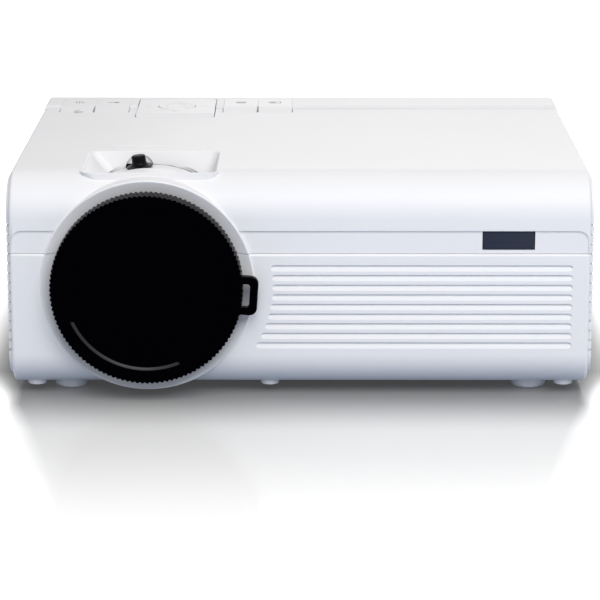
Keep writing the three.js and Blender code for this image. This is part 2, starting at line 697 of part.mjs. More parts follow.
// Focus window: a drafted pocket with a rim, open below to the focus ring
const POCKET_LOW_Z = BODY_H - POCKET_DEPTH;
const POCKET_MOUTH = [
  LENS_X - POCKET_LEFT_REACH + POCKET_RIM, LENS_X + POCKET_RIGHT_REACH - POCKET_RIM,
  POCKET_FRONT_Y + POCKET_RIM, POCKET_REAR_Y,
];
const POCKET_FOOT = [
  POCKET_MOUTH[0] + POCKET_LEFT_DRAFT, POCKET_MOUTH[1] - POCKET_RIGHT_DRAFT,
  POCKET_MOUTH[2] + POCKET_FRONT_DRAFT, POCKET_MOUTH[3] - POCKET_REAR_DRAFT,
];

function grown([x0, x1, y0, y1], by) {
  return [x0 - by, x1 + by, y0 - by, y1 + by];
}

function pocketBlock() {
  return taper([...grown(POCKET_FOOT, POCKET_WALL), POCKET_LOW_Z],
    [...grown(POCKET_MOUTH, POCKET_RIM), BODY_H],
    POCKET_RADIUS + POCKET_RIM);
}

function pocketHollow() {
  const well = taper([...POCKET_FOOT, POCKET_LOW_Z], [...POCKET_MOUTH, BODY_H], POCKET_RADIUS);
  const above = sweep(roundRect(...POCKET_MOUTH, POCKET_RADIUS), BODY_H, FAR_UP, 'z', ARC_STEPS / 2);
  const below = sweep(roundRect(...POCKET_FOOT, POCKET_RADIUS), POCKET_LOW_Z - OVERRUN, POCKET_LOW_Z, 'z',
    ARC_STEPS / 2);
  const knobX = LENS_X + KNOB_TOP_R * Math.sin(deg(KNOB_ANGLE));
  const notch = pillar(NOTCH_R, POCKET_LOW_Z - OVERRUN, BODY_H - POCKET_RIM, knobX,
    POCKET_REAR_Y - POCKET_REAR_DRAFT);
  const inFront = wide(-OVERRUN, POCKET_REAR_Y, -OVERRUN, FAR_UP);
  return join(well, above, below, notch.intersect(inFront));
}

// A vertical key shape: its plan is swept up to a ramped top
function keyTop(plan, frontY, rampY, rearY, lowZ) {
  const side = outline([[frontY, lowZ], [rearY, lowZ], [rearY, STRIP_H], [rampY, STRIP_H],
    [frontY, BODY_H]]);
  return sweep(plan, lowZ, FAR_UP, 'z', CORNER_STEPS).intersect(sweep(side, -BODY_W, BODY_W, 'x'));
}

function keyOpenings() {
  const low = ROOF_Z - OVERRUN / 2;
  const pairs = [[KEY_SPANS[0][0], KEY_SPANS[1][1]], [KEY_SPANS[2][0], KEY_SPANS[3][1]]];
  const holes = pairs.map(([x0, x1]) => box(x0 - CLEAR, x1 + CLEAR, KEY_FRONT_Y - CLEAR, KEY_REAR_Y + CLEAR,
    low, FAR_UP));
  const pad = roundRect(PAD_LEFT - CLEAR, PAD_RIGHT + CLEAR, PAD_FRONT_Y - CLEAR, KEY_REAR_Y + CLEAR,
    PAD_RADIUS);
  const pipe = pillar(LED_R + CLEAR, low, FAR_UP, LED_X, KEY_FRONT_Y);
  return join(...holes, sweep(pad, low, FAR_UP, 'z', CORNER_STEPS), pipe);
}

// The round opening through a side wall in front of a fan
function fanWindow(side, size, y) {
  const bore = turned([[0, 0], [size / 2 - FAN_WALL, 0], [size / 2 - FAN_WALL, WALL * 3], [0, WALL * 3]]);
  return bore.rotate([0, 0, -side * 90]).translate([side * (HALF_W - WALL * 2), y, LENS_Z]);
}

function irOpening() {
  return box(IR_LEFT - CLEAR, IR_RIGHT + CLEAR, -OVERRUN, WALL + OVERRUN, IR_LOW - CLEAR, IR_HIGH + CLEAR);
}

// Long posts in the cover take the case screws
function coverPosts() {
  const low = BOSS_H + CLEAR;
  const posts = SCREW_PLACES.map(([x, y]) => {
    if (y < BODY_D / 2) return pillar(POST_R, low, ROOF_Z, x, y);
    const rib = box(x - LIP_T, x + LIP_T, y, BODY_D - WALL / 2, SEAM_Z + LIP_ROOT, POST_REAR_TOP_Z);
    return pillar(POST_R, low, POST_REAR_TOP_Z, x, y).add(rib);
  });
  const pilots = SCREW_PLACES.map(([x, y]) => pillar(PILOT_R, 0, HEAD_SINK + HEAD_H + SCREW_L, x, y));
  return join(...posts).subtract(join(...pilots));
}

const BAR_X = [(KEY_SPANS[1][1] + PAD_LEFT) / 2, (KEY_SPANS[2][0] + PAD_RIGHT) / 2];

function topCover() {
  const upper = wide(-OVERRUN, FAR_BACK, SEAM_Z + CLEAR / 2, FAR_UP);
  const hangers = BAR_X.map((x) => pillar(HANGER_R, KEY_BOARD_Z + BOARD_T + CLEAR, ROOF_Z + WALL / 2, x,
    (KEY_FRONT_Y + KEY_BOARD_FRONT_Y) / 2));
  const throat = rod(ARCH_R - ARCH_WALL, -OVERRUN, CHASSIS_FRONT_Y, LENS_X, LENS_Z, FINE);
  return housingShell()
    .add(pocketBlock())
    .subtract(join(frontBand(), bezelBore(), throat))
    .add(bezel())
    .subtract(pocketHollow().subtract(rod(ARCH_R, 0, ARCH_REAR_Y, LENS_X, LENS_Z, FINE)))
    .subtract(join(keyOpenings(), irOpening(), panelRecess(1), panelRecess(-1)))
    .subtract(join(fanWindow(1, EXHAUST_SIZE, FOLD_Y), fanWindow(-1, INTAKE_SIZE, INTAKE_Y)))
    .intersect(upper)
    .add(join(coverPosts(), ...hangers));
}

// Wedge grooves of the front grille, following the bezel on their left
function grooves() {
  const depth = GROOVE_DEPTH;
  const cuts = Array.from({ length: GROOVE_COUNT }, (_, k) => {
    const top = GROOVE_TOP_Z - k * GROOVE_PITCH;
    const wedge = outline([[-OVERRUN, top - GROOVE_H], [0, top - GROOVE_H], [depth, top], [-OVERRUN, top]]);
    const face = roundRect(LENS_X, GROOVE_RIGHT, top - GROOVE_H, top, GROOVE_H / 2);
    return sweep(wedge, LENS_X, GROOVE_RIGHT, 'x').intersect(sweep(face, -OVERRUN, depth, 'y',
      CORNER_STEPS));
  });
  return join(...cuts).subtract(rod(BEZEL_R + GROOVE_GAP, -OVERRUN, WALL, LENS_X, LENS_Z, FINE));
}

function sideLips() {
  const lip = (x0, x1, y0, y1) => {
    const [inner, outer] = [Math.min(x0, x1), Math.max(x0, x1)];
    return box(inner, outer, y0, y1, SEAM_Z - LIP_ROOT, SEAM_Z + LIP_H);
  };
  const spans = [
    [1, LIP_FRONT_Y, FOLD_Y - EXHAUST_SIZE / 2 - CLEAR],
    [1, FOLD_Y + EXHAUST_SIZE / 2 + CLEAR, BODY_D - LIP_REAR_INSET],
    [-1, LIP_FRONT_Y, INTAKE_Y - INTAKE_SIZE / 2 - CLEAR],
  ];
  const lips = spans.map(([side, y0, y1]) => lip(side * (INNER_HALF_W + LIP_T),
    side * (INNER_HALF_W - CLEAR - LIP_T), y0, y1));
  const relief = spans.map(([side, y0, y1]) => box(
    Math.min(side * (INNER_HALF_W - CLEAR), side * HALF_W),
    Math.max(side * (INNER_HALF_W - CLEAR), side * HALF_W),
    y0 - CLEAR, y1 + CLEAR, SEAM_Z - CLEAR / 2, FAR_UP));
  return join(...lips).subtract(join(...relief));
}

// Pads under the chassis, the power board and the main board
function standPads() {
  const inset = STAND_R * 2;
  const places = [
    [LENS_X + inset, CHASSIS_FRONT_Y + inset],
    [CHASSIS_RIGHT - inset, CHASSIS_FRONT_Y + inset],
    [CHASSIS_RIGHT - inset, CHASSIS_REAR_Y - inset],
    [LCD_X + inset, CHASSIS_REAR_Y - inset],
    [POWER_LEFT + inset, POWER_FRONT_Y + inset],
    [POWER_LEFT + inset, POWER_REAR_Y - inset],
    [POWER_RIGHT - inset, POWER_FRONT_Y + inset],
    [POWER_RIGHT - inset, POWER_REAR_Y - inset],
    [MAIN_LEFT + inset, MAIN_Y],
    [MAIN_RIGHT - inset, MAIN_Y],
  ];
  return join(...places.map(([x, y]) => pillar(STAND_R, WALL / 2, FLOOR_Z - CLEAR, x, y, STAND_STEPS)));
}

// The rear wall opens for the socket panel, the mains inlet and the speaker
function rearOpenings() {
  const front = BODY_D - WALL - OVERRUN;
  const panel = box(IO_LEFT - CLEAR, IO_RIGHT + CLEAR, front, FAR_BACK, IO_LOW - CLEAR, IO_HIGH + CLEAR);
  return join(panel, sweep(inletShape(CLEAR), front, FAR_BACK, 'y', CORNER_STEPS), speakerSlots());
}

// Sound slots whose ends follow the speaker's cone
function speakerSlots() {
  const slots = Array.from({ length: SPEAKER_SLOTS }, (_, k) => {
    const z = (k - (SPEAKER_SLOTS - 1) / 2) * SPEAKER_SLOT_PITCH;
    const reach = Math.sqrt(SPEAKER_R ** 2 - z ** 2);
    return box(SPEAKER_X - reach, SPEAKER_X + reach, BODY_D - WALL * 2, FAR_BACK,
      SPEAKER_Z + z - SPEAKER_SLOT_W / 2, SPEAKER_Z + z + SPEAKER_SLOT_W / 2);
  });
  return join(...slots);
}

function bottomCase() {
  const lower = wide(-OVERRUN, FAR_BACK, -OVERRUN, SEAM_Z - CLEAR / 2);
  const bosses = SCREW_PLACES.map(([x, y]) => pillar(BOSS_R, WALL / 2, BOSS_H, x, y));
  const sinks = SCREW_PLACES.map(([x, y]) => join(
    pillar(HEAD_R + CLEAR, -OVERRUN, HEAD_SINK + HEAD_H, x, y),
    pillar(PILOT_R, 0, BOSS_H + OVERRUN, x, y)));
  const insertBoss = pillar(INSERT_R + CLEAR + INSERT_WALL, WALL / 2, FLOOR_Z - CLEAR, INSERT_X, INSERT_Y);
  const insertHole = pillar(INSERT_R + CLEAR, -OVERRUN, INSERT_H + CLEAR, INSERT_X, INSERT_Y);
  return housingShell()
    .subtract(join(bezelBore(), panelRecess(1), panelRecess(-1)))
    .add(bezel())
    .subtract(join(grooves(), rearOpenings(), focusClearance()))
    .subtract(join(fanWindow(1, EXHAUST_SIZE, FOLD_Y), fanWindow(-1, INTAKE_SIZE, INTAKE_Y)))
    .intersect(lower)
    .add(join(...bosses, standPads(), sideLips(), insertBoss))
    .subtract(join(...sinks, insertHole));
}

// Louvred side panels: proud ribs on a thin backing, open over the fan
function sidePanel(side, size, fanY) {
  const x0 = HALF_W - PANEL_BACK;
  const plate = sweep(sideOutline(PANEL_INSET), x0, HALF_W + PANEL_PROUD, 'x', PANEL_STEPS);
  const slots = Array.from({ length: LOUVRE_COUNT }, (_, k) => {
    const z = LOUVRE_TOP_Z - k * LOUVRE_PITCH;
    return box(HALF_W, HALF_W + OVERRUN, 0, BODY_D - LOUVRE_REAR_GAP, z - LOUVRE_SLOT / 2,
      z + LOUVRE_SLOT / 2);
  });
  const through = slots.map((slot) => slot.translate([-PANEL_BACK * 2, 0, 0]));
  const reach = size / 2 - FAN_WALL;
  const air = join(...through).intersect(box(0, BODY_W, fanY - reach, fanY + reach, 0, BODY_H));
  const panel = plate.subtract(join(...slots, air));
  return side > 0 ? panel : panel.mirror([1, 0, 0]);
}

function foot() {
  const profile = [[0, -FOOT_H], [FOOT_R - FOOT_EDGE, -FOOT_H], [FOOT_R, FOOT_EDGE - FOOT_H], [FOOT_R, 0],
    [0, 0]];
  return turned(profile, [0, 0, 0], ROUND).rotate([90, 0, 0]);
}

function caseScrew() {
  const head = pillar(HEAD_R, HEAD_SINK, HEAD_SINK + HEAD_H - CLEAR, 0, 0);
  const shank = pillar(SCREW_R, HEAD_SINK + HEAD_H / 2, HEAD_SINK + SCREW_L, 0, 0, COARSE / 2);
  return head.add(shank);
}

function tripodInsert() {
  return pillar(INSERT_R, 0, INSERT_H, INSERT_X, INSERT_Y).subtract(
    pillar(INSERT_BORE_R, -OVERRUN, INSERT_H + OVERRUN, INSERT_X, INSERT_Y));
}

function irWindow() {
  const flangeY = WALL + CLEAR;
  const face = sweep(roundRect(IR_LEFT, IR_RIGHT, IR_LOW, IR_HIGH, CLEAR), BAND_RECESS + IR_SINK,
    flangeY + IR_FLANGE_T, 'y', 1);
  const flange = box(IR_LEFT - IR_FLANGE, IR_RIGHT + IR_FLANGE, flangeY, flangeY + IR_FLANGE_T,
    IR_LOW - IR_FLANGE, IR_HIGH + IR_FLANGE);
  return face.add(flange);
}

const IR_BACK_Y = WALL + CLEAR + IR_FLANGE_T;

function irReceiver() {
  const domeX = (IR_LEFT + IR_RIGHT) / 2;
  const domeZ = (IR_LOW + IR_HIGH) / 2;
  const y0 = IR_BACK_Y + CLEAR + RECEIVER_DOME_R;
  const board = box(IR_LEFT, IR_RIGHT, y0, y0 + RECEIVER_T, IR_LOW, IR_HIGH);
  const dome = new THREE.SphereGeometry(RECEIVER_DOME_R, COARSE / 2, COARSE / 3);
  return board.add(solid(dome).translate([domeX, y0, domeZ]));
}

// Keys
function key(index) {
  const [x0, x1] = KEY_SPANS[index];
  const first = index % 2 === 0;
  const cap = keyTop(roundRect(x0, x1, KEY_FRONT_Y, KEY_REAR_Y, CLEAR), KEY_FRONT_Y, KEY_RAMP_Y, KEY_REAR_Y,
    KEY_LOW_Z);
  const [f0, f1] = [first ? x0 - CLEAR - KEY_FLANGE : x0, first ? x1 : x1 + CLEAR + KEY_FLANGE];
  const flange = box(f0, f1, KEY_FRONT_Y - CLEAR - KEY_FLANGE, KEY_REAR_Y, KEY_LOW_Z,
    KEY_LOW_Z + KEY_FLANGE_T);
  const pipe = join(pillar(LED_R + CLEAR, KEY_LOW_Z - OVERRUN, FAR_UP, LED_X, KEY_FRONT_Y),
    pillar(LED_FLANGE_R + CLEAR, KEY_LOW_Z - OVERRUN, ROOF_Z, LED_X, KEY_FRONT_Y));
  return cap.add(flange).subtract(pipe);
}

function ledLens() {
  const flangeTop = ROOF_Z - CLEAR - KEY_TRAVEL;
  return pillar(LED_R, KEY_LOW_Z, BODY_H, LED_X, KEY_FRONT_Y).add(
    pillar(LED_FLANGE_R, KEY_LOW_Z, flangeTop, LED_X, KEY_FRONT_Y));
}

const PAD_X = (PAD_LEFT + PAD_RIGHT) / 2;
const GIMBAL_Z = KEY_BOARD_Z + BOARD_T + GIMBAL_GAP;

function navPad() {
  const low = GIMBAL_Z + GIMBAL_T + CLEAR;
  const plate = keyTop(roundRect(PAD_LEFT, PAD_RIGHT, PAD_FRONT_Y, KEY_REAR_Y, PAD_RADIUS),
    PAD_FRONT_Y, PAD_FRONT_Y + PAD_RAMP, KEY_REAR_Y, low);
  const hole = pillar(OK_R + CLEAR, low - OVERRUN, FAR_UP, PAD_X, OK_Y, ROUND);
  const legs = switchPlaces().slice(0, 4).map(([x, y]) => pillar(KEY_STEM_R, KEY_LOW_Z, low + CLEAR, x, y,
    COARSE / 2));
  return plate.subtract(hole).add(join(...legs));
}

function okButton() {
  const disc = pillar(OK_R, STRIP_H + OK_RISE - OK_T, STRIP_H + OK_RISE, PAD_X, OK_Y, ROUND);
  return disc.add(pillar(OK_STEM_R, SWITCH_TOP_Z + KEY_TRAVEL + CLEAR / 2, STRIP_H, PAD_X, OK_Y, COARSE));
}

function navGimbal() {
  return pillar(GIMBAL_R, GIMBAL_Z, GIMBAL_Z + GIMBAL_T, PAD_X, OK_Y, ROUND).subtract(
    pillar(GIMBAL_BORE_R, 0, FAR_UP, PAD_X, OK_Y));
}

function switchPlaces() {
  const around = [[1, 0], [-1, 0], [0, 1], [0, -1]].map(([u, v]) => [PAD_X + u * PAD_STEM_OUT,
    OK_Y + v * PAD_STEM_OUT]);
  const keys = KEY_SPANS.map(([x0, x1]) => [(x0 + x1) / 2, (KEY_RAMP_Y + KEY_BOARD_REAR_Y) / 2]);
  return [...around, [PAD_X, OK_Y], ...keys];
}

function keyBoard() {
  const top = KEY_BOARD_Z + BOARD_T;
  const plate = box(KEY_BOARD_LEFT, KEY_BOARD_RIGHT, KEY_BOARD_FRONT_Y, KEY_BOARD_REAR_Y, KEY_BOARD_Z, top);
  const switches = switchPlaces().map(([x, y]) => box(x - SWITCH_HALF, x + SWITCH_HALF, y - SWITCH_HALF,
    y + SWITCH_HALF, KEY_BOARD_Z, top + SWITCH_H).add(pillar(SWITCH_CAP_R, top, SWITCH_TOP_Z, x, y,
      COARSE / 2)));
  const collar = pillar(GIMBAL_R, KEY_BOARD_Z, GIMBAL_Z - CLEAR, PAD_X, OK_Y).subtract(
    pillar(GIMBAL_R - KEY_STEM_R, 0, FAR_UP, PAD_X, OK_Y));
  const light = pillar(LED_R, top, KEY_LOW_Z - CLEAR, LED_X, KEY_FRONT_Y, COARSE / 2);
  return join(plate, collar, light, ...switches);
}

// A short cylinder pointing away from the lens axis, at an angle from straight up
function radial(r, from, to, y, angle, steps = COARSE / 2) {
  const pin = pillar(r, from, to, 0, y, steps);
  return pin.rotate([0, angle, 0]).translate([LENS_X, 0, LENS_Z]);
}

// Slots for the follower pins: straight in the fixed tube, helical in the focus ring
function camSlots(follow, rIn, rOut) {
  const half = PIN_R + CLEAR / 2;
  const stops = Array.from({ length: CAM_STEPS + 1 }, (_, step) => {
    const share = step / CAM_STEPS;
    return { turn: follow * (CAM_LOW_ANGLE - share * CAM_SWEEP_ANGLE),
      y: PIN_Y + CAM_TRAVEL * share - CAM_TRAVEL * CAM_LOW_ANGLE / CAM_SWEEP_ANGLE };
  });
  const cuts = [];
  for (let cam = 0; cam < CAM_COUNT; cam += 1) {
    const base = CAM_BASE_ANGLE + TURN * cam / CAM_COUNT;
    const [first, last] = [stops[0], stops.at(-1)];
    cuts.push(radial(half, rIn, rOut, first.y, base + first.turn),
      radial(half, rIn, rOut, last.y, base + last.turn));
    const run = [CAM_TRAVEL, follow * deg(CAM_SWEEP_ANGLE) * rOut];
    const length = Math.hypot(...run);
    const [alongY, alongTurn] = [run[0] / length, -run[1] / length];
    const rings = stops.map(({ turn, y }) => [[rIn, -1], [rOut, -1], [rOut, 1],
      [rIn, 1]].map(([r, side]) => {
      const angle = deg(base + turn) + side * half * alongY / rOut;
      const over = y - side * half * alongTurn;
      return [LENS_X + r * Math.sin(angle), over, LENS_Z + r * Math.cos(angle)];
    }));
    cuts.push(loft(rings));
  }
  return join(...cuts);
}

function lensTube() {
  const rIn = TUBE_R - TUBE_WALL;
  const body = turned([
    [rIn, TUBE_FRONT_Y], [TUBE_R, TUBE_FRONT_Y], [TUBE_R, TUBE_REAR_Y], [TUBE_FLANGE_R, TUBE_REAR_Y],
    [TUBE_FLANGE_R, TUBE_REAR_Y + TUBE_FLANGE_T], [rIn, TUBE_REAR_Y + TUBE_FLANGE_T],
  ], [LENS_X, 0, LENS_Z], FINE);
  return body.subtract(camSlots(0, rIn - OVERRUN / 2, TUBE_R + OVERRUN / 2));
}

function focusRing() {
  const ring = sleeve(RING_R, TUBE_R + CLEAR, RING_FRONT_Y, RING_REAR_Y, LENS_X, LENS_Z, FINE);
  return ring.subtract(camSlots(1, TUBE_R - OVERRUN / 2, RING_R + OVERRUN / 2));
}

function focusKnob() {
  const base = RING_R + CLEAR;
  const profile = [[0, base], [KNOB_BASE_R, base], [KNOB_BASE_R, base + KNOB_BASE_H - KNOB_CHAMFER],
    [KNOB_BASE_R - KNOB_CHAMFER, base + KNOB_BASE_H], [KNOB_STEM_R, base + KNOB_BASE_H],
    [KNOB_STEM_R, KNOB_TOP_R - KNOB_CHAMFER], [KNOB_STEM_R - KNOB_CHAMFER, KNOB_TOP_R], [0, KNOB_TOP_R]];
  const body = turned(profile, [0, 0, 0], COARSE).rotate([90, 0, 0]).translate([0, KNOB_Y, 0]);
  return body.rotate([0, KNOB_ANGLE, 0]).translate([LENS_X, 0, LENS_Z]);
}

function lensBarrel() {
  const [rIn, rSeat] = [BARREL_R - BARREL_WALL, BARREL_R - BARREL_WALL - SEAT_STEP];
  const seats = [FRONT_GLASS_Y, MIDDLE_GLASS_Y, REAR_GLASS_Y].map((y) => [y + GLASS_EDGE_T + CLEAR,
    y + GLASS_EDGE_T + CLEAR + SEAT_STEP * 2]);
  const steps = seats.flatMap(([y0, y1]) => [[rIn, y0], [rSeat, y0], [rSeat, y1], [rIn, y1]]);
  const body = turned([[BARREL_R, BARREL_REAR_Y], [BARREL_R, BARREL_FRONT_Y], [rIn, BARREL_FRONT_Y],
    ...steps,
    [rIn, BARREL_REAR_Y]], [LENS_X, 0, LENS_Z], ROUND);
  const pins = Array.from({ length: CAM_COUNT }, (_, cam) => radial(PIN_R, BARREL_R - BARREL_WALL / 2,
    BARREL_R + PIN_REACH + TUBE_WALL, PIN_Y, CAM_BASE_ANGLE + TURN * cam / CAM_COUNT));
  return body.add(join(...pins));
}

// A lens: a cylinder edge with a domed front and rear, each bulge given as a sag
function glass(y, r, edge, frontSag, rearSag) {
  const arc = (sag, from, way) => Array.from({ length: DOME_STEPS }, (_, k) => {
    const radius = r * (k + 1) / DOME_STEPS;
    return [radius, from + way * sag * (radius * radius / (r * r) - 1)];
  });
  const front = [[0, y - frontSag], ...arc(frontSag, y, 1)];
  const rear = [[0, y + edge + rearSag], ...(rearSag > 0 ? arc(rearSag, y + edge, -1) : [[r, y + edge]])];
  return turned([...front, ...rear.reverse()], [LENS_X, 0, LENS_Z]);
}

function retainer() {
  const rOut = BARREL_R - BARREL_WALL - CLEAR;
  const y1 = FRONT_GLASS_Y - CLEAR * 2;
  const ring = sleeve(rOut, rOut - RETAINER_WIDTH, y1 - RETAINER_T, y1, LENS_X, LENS_Z);
  const notches = [1, -1].map((side) => box(LENS_X - PIN_R, LENS_X + PIN_R, 0, y1 - RETAINER_T / 2,
    LENS_Z + side * rOut - RETAINER_WIDTH / 2, LENS_Z + side * rOut + RETAINER_WIDTH / 2));
  return ring.subtract(join(...notches));
}

// Lens cap: toothed rim, dropped disc and a strap lug; its skirt slips over the lens tube
function lensCap() {
  const toothed = new THREE.Shape(Array.from({ length: CAP_TEETH * 2 }, (_, k) => {
    const angle = Math.PI * k / CAP_TEETH;
    const r = k % 2 ? CAP_R : CAP_R - CAP_TOOTH_DEPTH;
    return new THREE.Vector2(LENS_X + r * Math.cos(angle), LENS_Z + r * Math.sin(angle));
  }));
  const rear = CAP_FRONT_Y + CAP_DEPTH;
  const rim = sweep(toothed, CAP_FRONT_Y + CAP_CHAMFER, rear, 'y');
  const face = turned([[0, CAP_FRONT_Y], [CAP_R - CAP_TOOTH_DEPTH - CAP_CHAMFER, CAP_FRONT_Y],
    [CAP_R - CAP_TOOTH_DEPTH - CAP_CHAMFER / 2, CAP_FRONT_Y + CAP_CHAMFER],
    [CAP_R - CAP_TOOTH_DEPTH - CAP_CHAMFER, CAP_FRONT_Y + CAP_FACE_T], [0, CAP_FRONT_Y + CAP_FACE_T]],
      [LENS_X, 0, LENS_Z], FINE);
  const drop = rod(CAP_DISC_R, CAP_FRONT_Y - OVERRUN, CAP_FRONT_Y + CAP_DISC_DROP, LENS_X, LENS_Z, FINE);
  const hollow = rod(TUBE_R + CLEAR, CAP_FRONT_Y + CAP_FACE_T, rear + OVERRUN, LENS_X, LENS_Z, FINE);
  const lugShape = outline([
    [LENS_X + CAP_DISC_R, LENS_Z - LUG_HALF_H], [LENS_X + LUG_OUT - LUG_HALF_H + LUG_TOP_HALF_H,
      LENS_Z - LUG_HALF_H],
    [LENS_X + LUG_OUT, LENS_Z - LUG_TOP_HALF_H], [LENS_X + LUG_OUT, LENS_Z + LUG_TOP_HALF_H],
    [LENS_X + LUG_OUT - LUG_HALF_H + LUG_TOP_HALF_H, LENS_Z + LUG_HALF_H],
      [LENS_X + CAP_DISC_R, LENS_Z + LUG_HALF_H],
  ]);
  const lug = sweep(lugShape, CAP_FRONT_Y + LUG_DROP, CAP_FRONT_Y + LUG_DROP + LUG_T, 'y');
  const slot = sweep(roundRect(LENS_X + LUG_SLOT_IN, LENS_X + LUG_SLOT_IN + LUG_SLOT_W,
    LENS_Z - LUG_SLOT_HALF_H,
    LENS_Z + LUG_SLOT_HALF_H, LUG_DROP), CAP_FRONT_Y - OVERRUN, OVERRUN, 'y', ARC_STEPS / 2);
  return rim.add(face).add(lug).subtract(join(drop, hollow, slot));
}

// Optical chassis: a walled tray whose rear wall follows the folding mirror
function inset(points, by) {
  return points.map((point, i) => {
    const before = points.at(i - 1);
    const after = points[(i + 1) % points.length];
    const normal = ([fromX, fromY], [toX, toY]) => {
      const length = Math.hypot(toX - fromX, toY - fromY);
      return [(fromY - toY) / length, (toX - fromX) / length];
    };
    const [n1, n2] = [normal(before, point), normal(point, after)];
    const scale = by / (1 + n1[0] * n2[0] + n1[1] * n2[1]);
    return [point[0] + (n1[0] + n2[0]) * scale, point[1] + (n1[1] + n2[1]) * scale];
  });
}

const CHASSIS_PLAN = [
  [CHASSIS_LEFT, CHASSIS_FRONT_Y], [CHASSIS_RIGHT, CHASSIS_FRONT_Y], [CHASSIS_RIGHT, CHASSIS_REAR_Y],
  [LIGHT_START_X, CHASSIS_REAR_Y], [CHASSIS_LEFT, CHASSIS_LEFT + FOLD_LINE],
];

const LAMP_WALL_X = CHASSIS_RIGHT - CHASSIS_WALL;
const CONDENSER_X = LAMP_WALL_X - CONDENSER_GAP;

function slotRibs(x, thickness, width) {
  const ribs = [];
  for (const side of [1, -1]) {
    for (const end of [1, -1]) {
      const near = x + side * (thickness / 2 + CLEAR);
      const [x0, x1] = [Math.min(near, near + side * SLOT_RIB), Math.max(near, near + side * SLOT_RIB)];
      const grip = FOLD_Y + end * (width / 2 - SLOT_RIB_REACH);
      const wall = end > 0 ? CHASSIS_REAR_Y - CHASSIS_WALL / 2 : CHASSIS_FRONT_Y + CHASSIS_WALL / 2;
      ribs.push(box(x0, x1, Math.min(grip, wall), Math.max(grip, wall), FLOOR_Z + CHASSIS_WALL / 2,
        CHASSIS_TOP_Z - CLEAR * 2));
    }
  }
  return join(...ribs);
}

function barrelHole() {
  return rod(BARREL_R + CLEAR * 2, CHASSIS_FRONT_Y - OVERRUN, CHASSIS_FRONT_Y + OVERRUN, LENS_X, LENS_Z,
    ROUND);
}

function chassis() {
  const tray = sweep(outline(CHASSIS_PLAN), FLOOR_Z, CHASSIS_TOP_Z, 'z');
  const room = sweep(outline(inset(CHASSIS_PLAN, CHASSIS_WALL)), FLOOR_Z + CHASSIS_WALL, FAR_UP, 'z');
  const ribs = join(slotRibs(LCD_X, LCD_T, GLASS_W), slotRibs(FRONT_FRESNEL_X, FRESNEL_T, GLASS_W),
    slotRibs(REAR_FRESNEL_X, FRESNEL_T, GLASS_W), slotRibs(HEAT_GLASS_X, HEAT_GLASS_T, GLASS_W));
  const inside = sweep(outline(inset(CHASSIS_PLAN, CHASSIS_WALL / 2)), FLOOR_Z, FAR_UP, 'z');
  const seat = condenserSeat();
  const lampHole = box(LAMP_WALL_X - OVERRUN, CHASSIS_RIGHT + OVERRUN, FOLD_Y - EMITTER / 2 - CLEAR,
    FOLD_Y + EMITTER / 2 + CLEAR,
    LENS_Z - EMITTER / 2 - CLEAR, LENS_Z + EMITTER / 2 + CLEAR);
  return tray.subtract(room).add(ribs.intersect(inside)).add(seat).subtract(barrelHole().add(lampHole));
}

// A ring on the lamp wall that holds the condenser's edge
function condenserSeat() {
  const ring = turned([
    [CONDENSER_R + CLEAR, 0], [CONDENSER_R + CLEAR + SLOT_RIB, 0],
    [CONDENSER_R + CLEAR + SLOT_RIB, CONDENSER_GAP + CONDENSER_EDGE_T + CHASSIS_WALL / 2],
    [CONDENSER_R - SLOT_RIB, CONDENSER_GAP + CONDENSER_EDGE_T + CHASSIS_WALL / 2],
    [CONDENSER_R - SLOT_RIB, CONDENSER_EDGE_T + CLEAR * 2],
    [CONDENSER_R + CLEAR, CONDENSER_EDGE_T + CLEAR * 2],
  ]);
  return ring.rotate([0, 0, -90]).translate([CONDENSER_X - CONDENSER_EDGE_T - CLEAR, FOLD_Y, LENS_Z]);
}

function chassisLid() {
  const plate = sweep(outline(CHASSIS_PLAN), CHASSIS_TOP_Z + CLEAR, CHASSIS_TOP_Z + CLEAR + LID_T, 'z');
  const room = sweep(outline(inset(CHASSIS_PLAN, CHASSIS_WALL + CLEAR)), CHASSIS_TOP_Z - CLEAR,
    CHASSIS_TOP_Z + CLEAR * 2, 'z');
  const core = sweep(outline(inset(CHASSIS_PLAN, CHASSIS_WALL * 2 + CLEAR)), CHASSIS_TOP_Z - OVERRUN,
    CHASSIS_TOP_Z + CLEAR, 'z');
  return plate.add(room.subtract(core)).subtract(barrelHole());
}

function mirror() {
  const plate = box(-MIRROR_W / 2, MIRROR_W / 2, 0, MIRROR_T, LENS_Z - MIRROR_H / 2, LENS_Z + MIRROR_H / 2);
  return plate.translate([0, -MIRROR_T / 2, 0]).rotate([0, 0, MIRROR_ANGLE]).translate([LENS_X, FOLD_Y, 0]);
}

function pane(x, thickness) {
  return box(x - thickness / 2, x + thickness / 2, FOLD_Y - GLASS_W / 2, FOLD_Y + GLASS_W / 2, GLASS_LOW_Z,
    GLASS_HIGH_Z);
}

function lcdPanel() {
  const frame = pane(LCD_X, LCD_T);
  const reach = GLASS_W / 2 - LCD_FRAME;
  const window = box(LCD_T / 4, OVERRUN, -reach, reach, GLASS_LOW_Z + LCD_FRAME, GLASS_HIGH_Z - LCD_FRAME);
  const windows = window.add(window.mirror([1, 0, 0])).translate([LCD_X, FOLD_Y, 0]);
  return frame.subtract(windows);
}

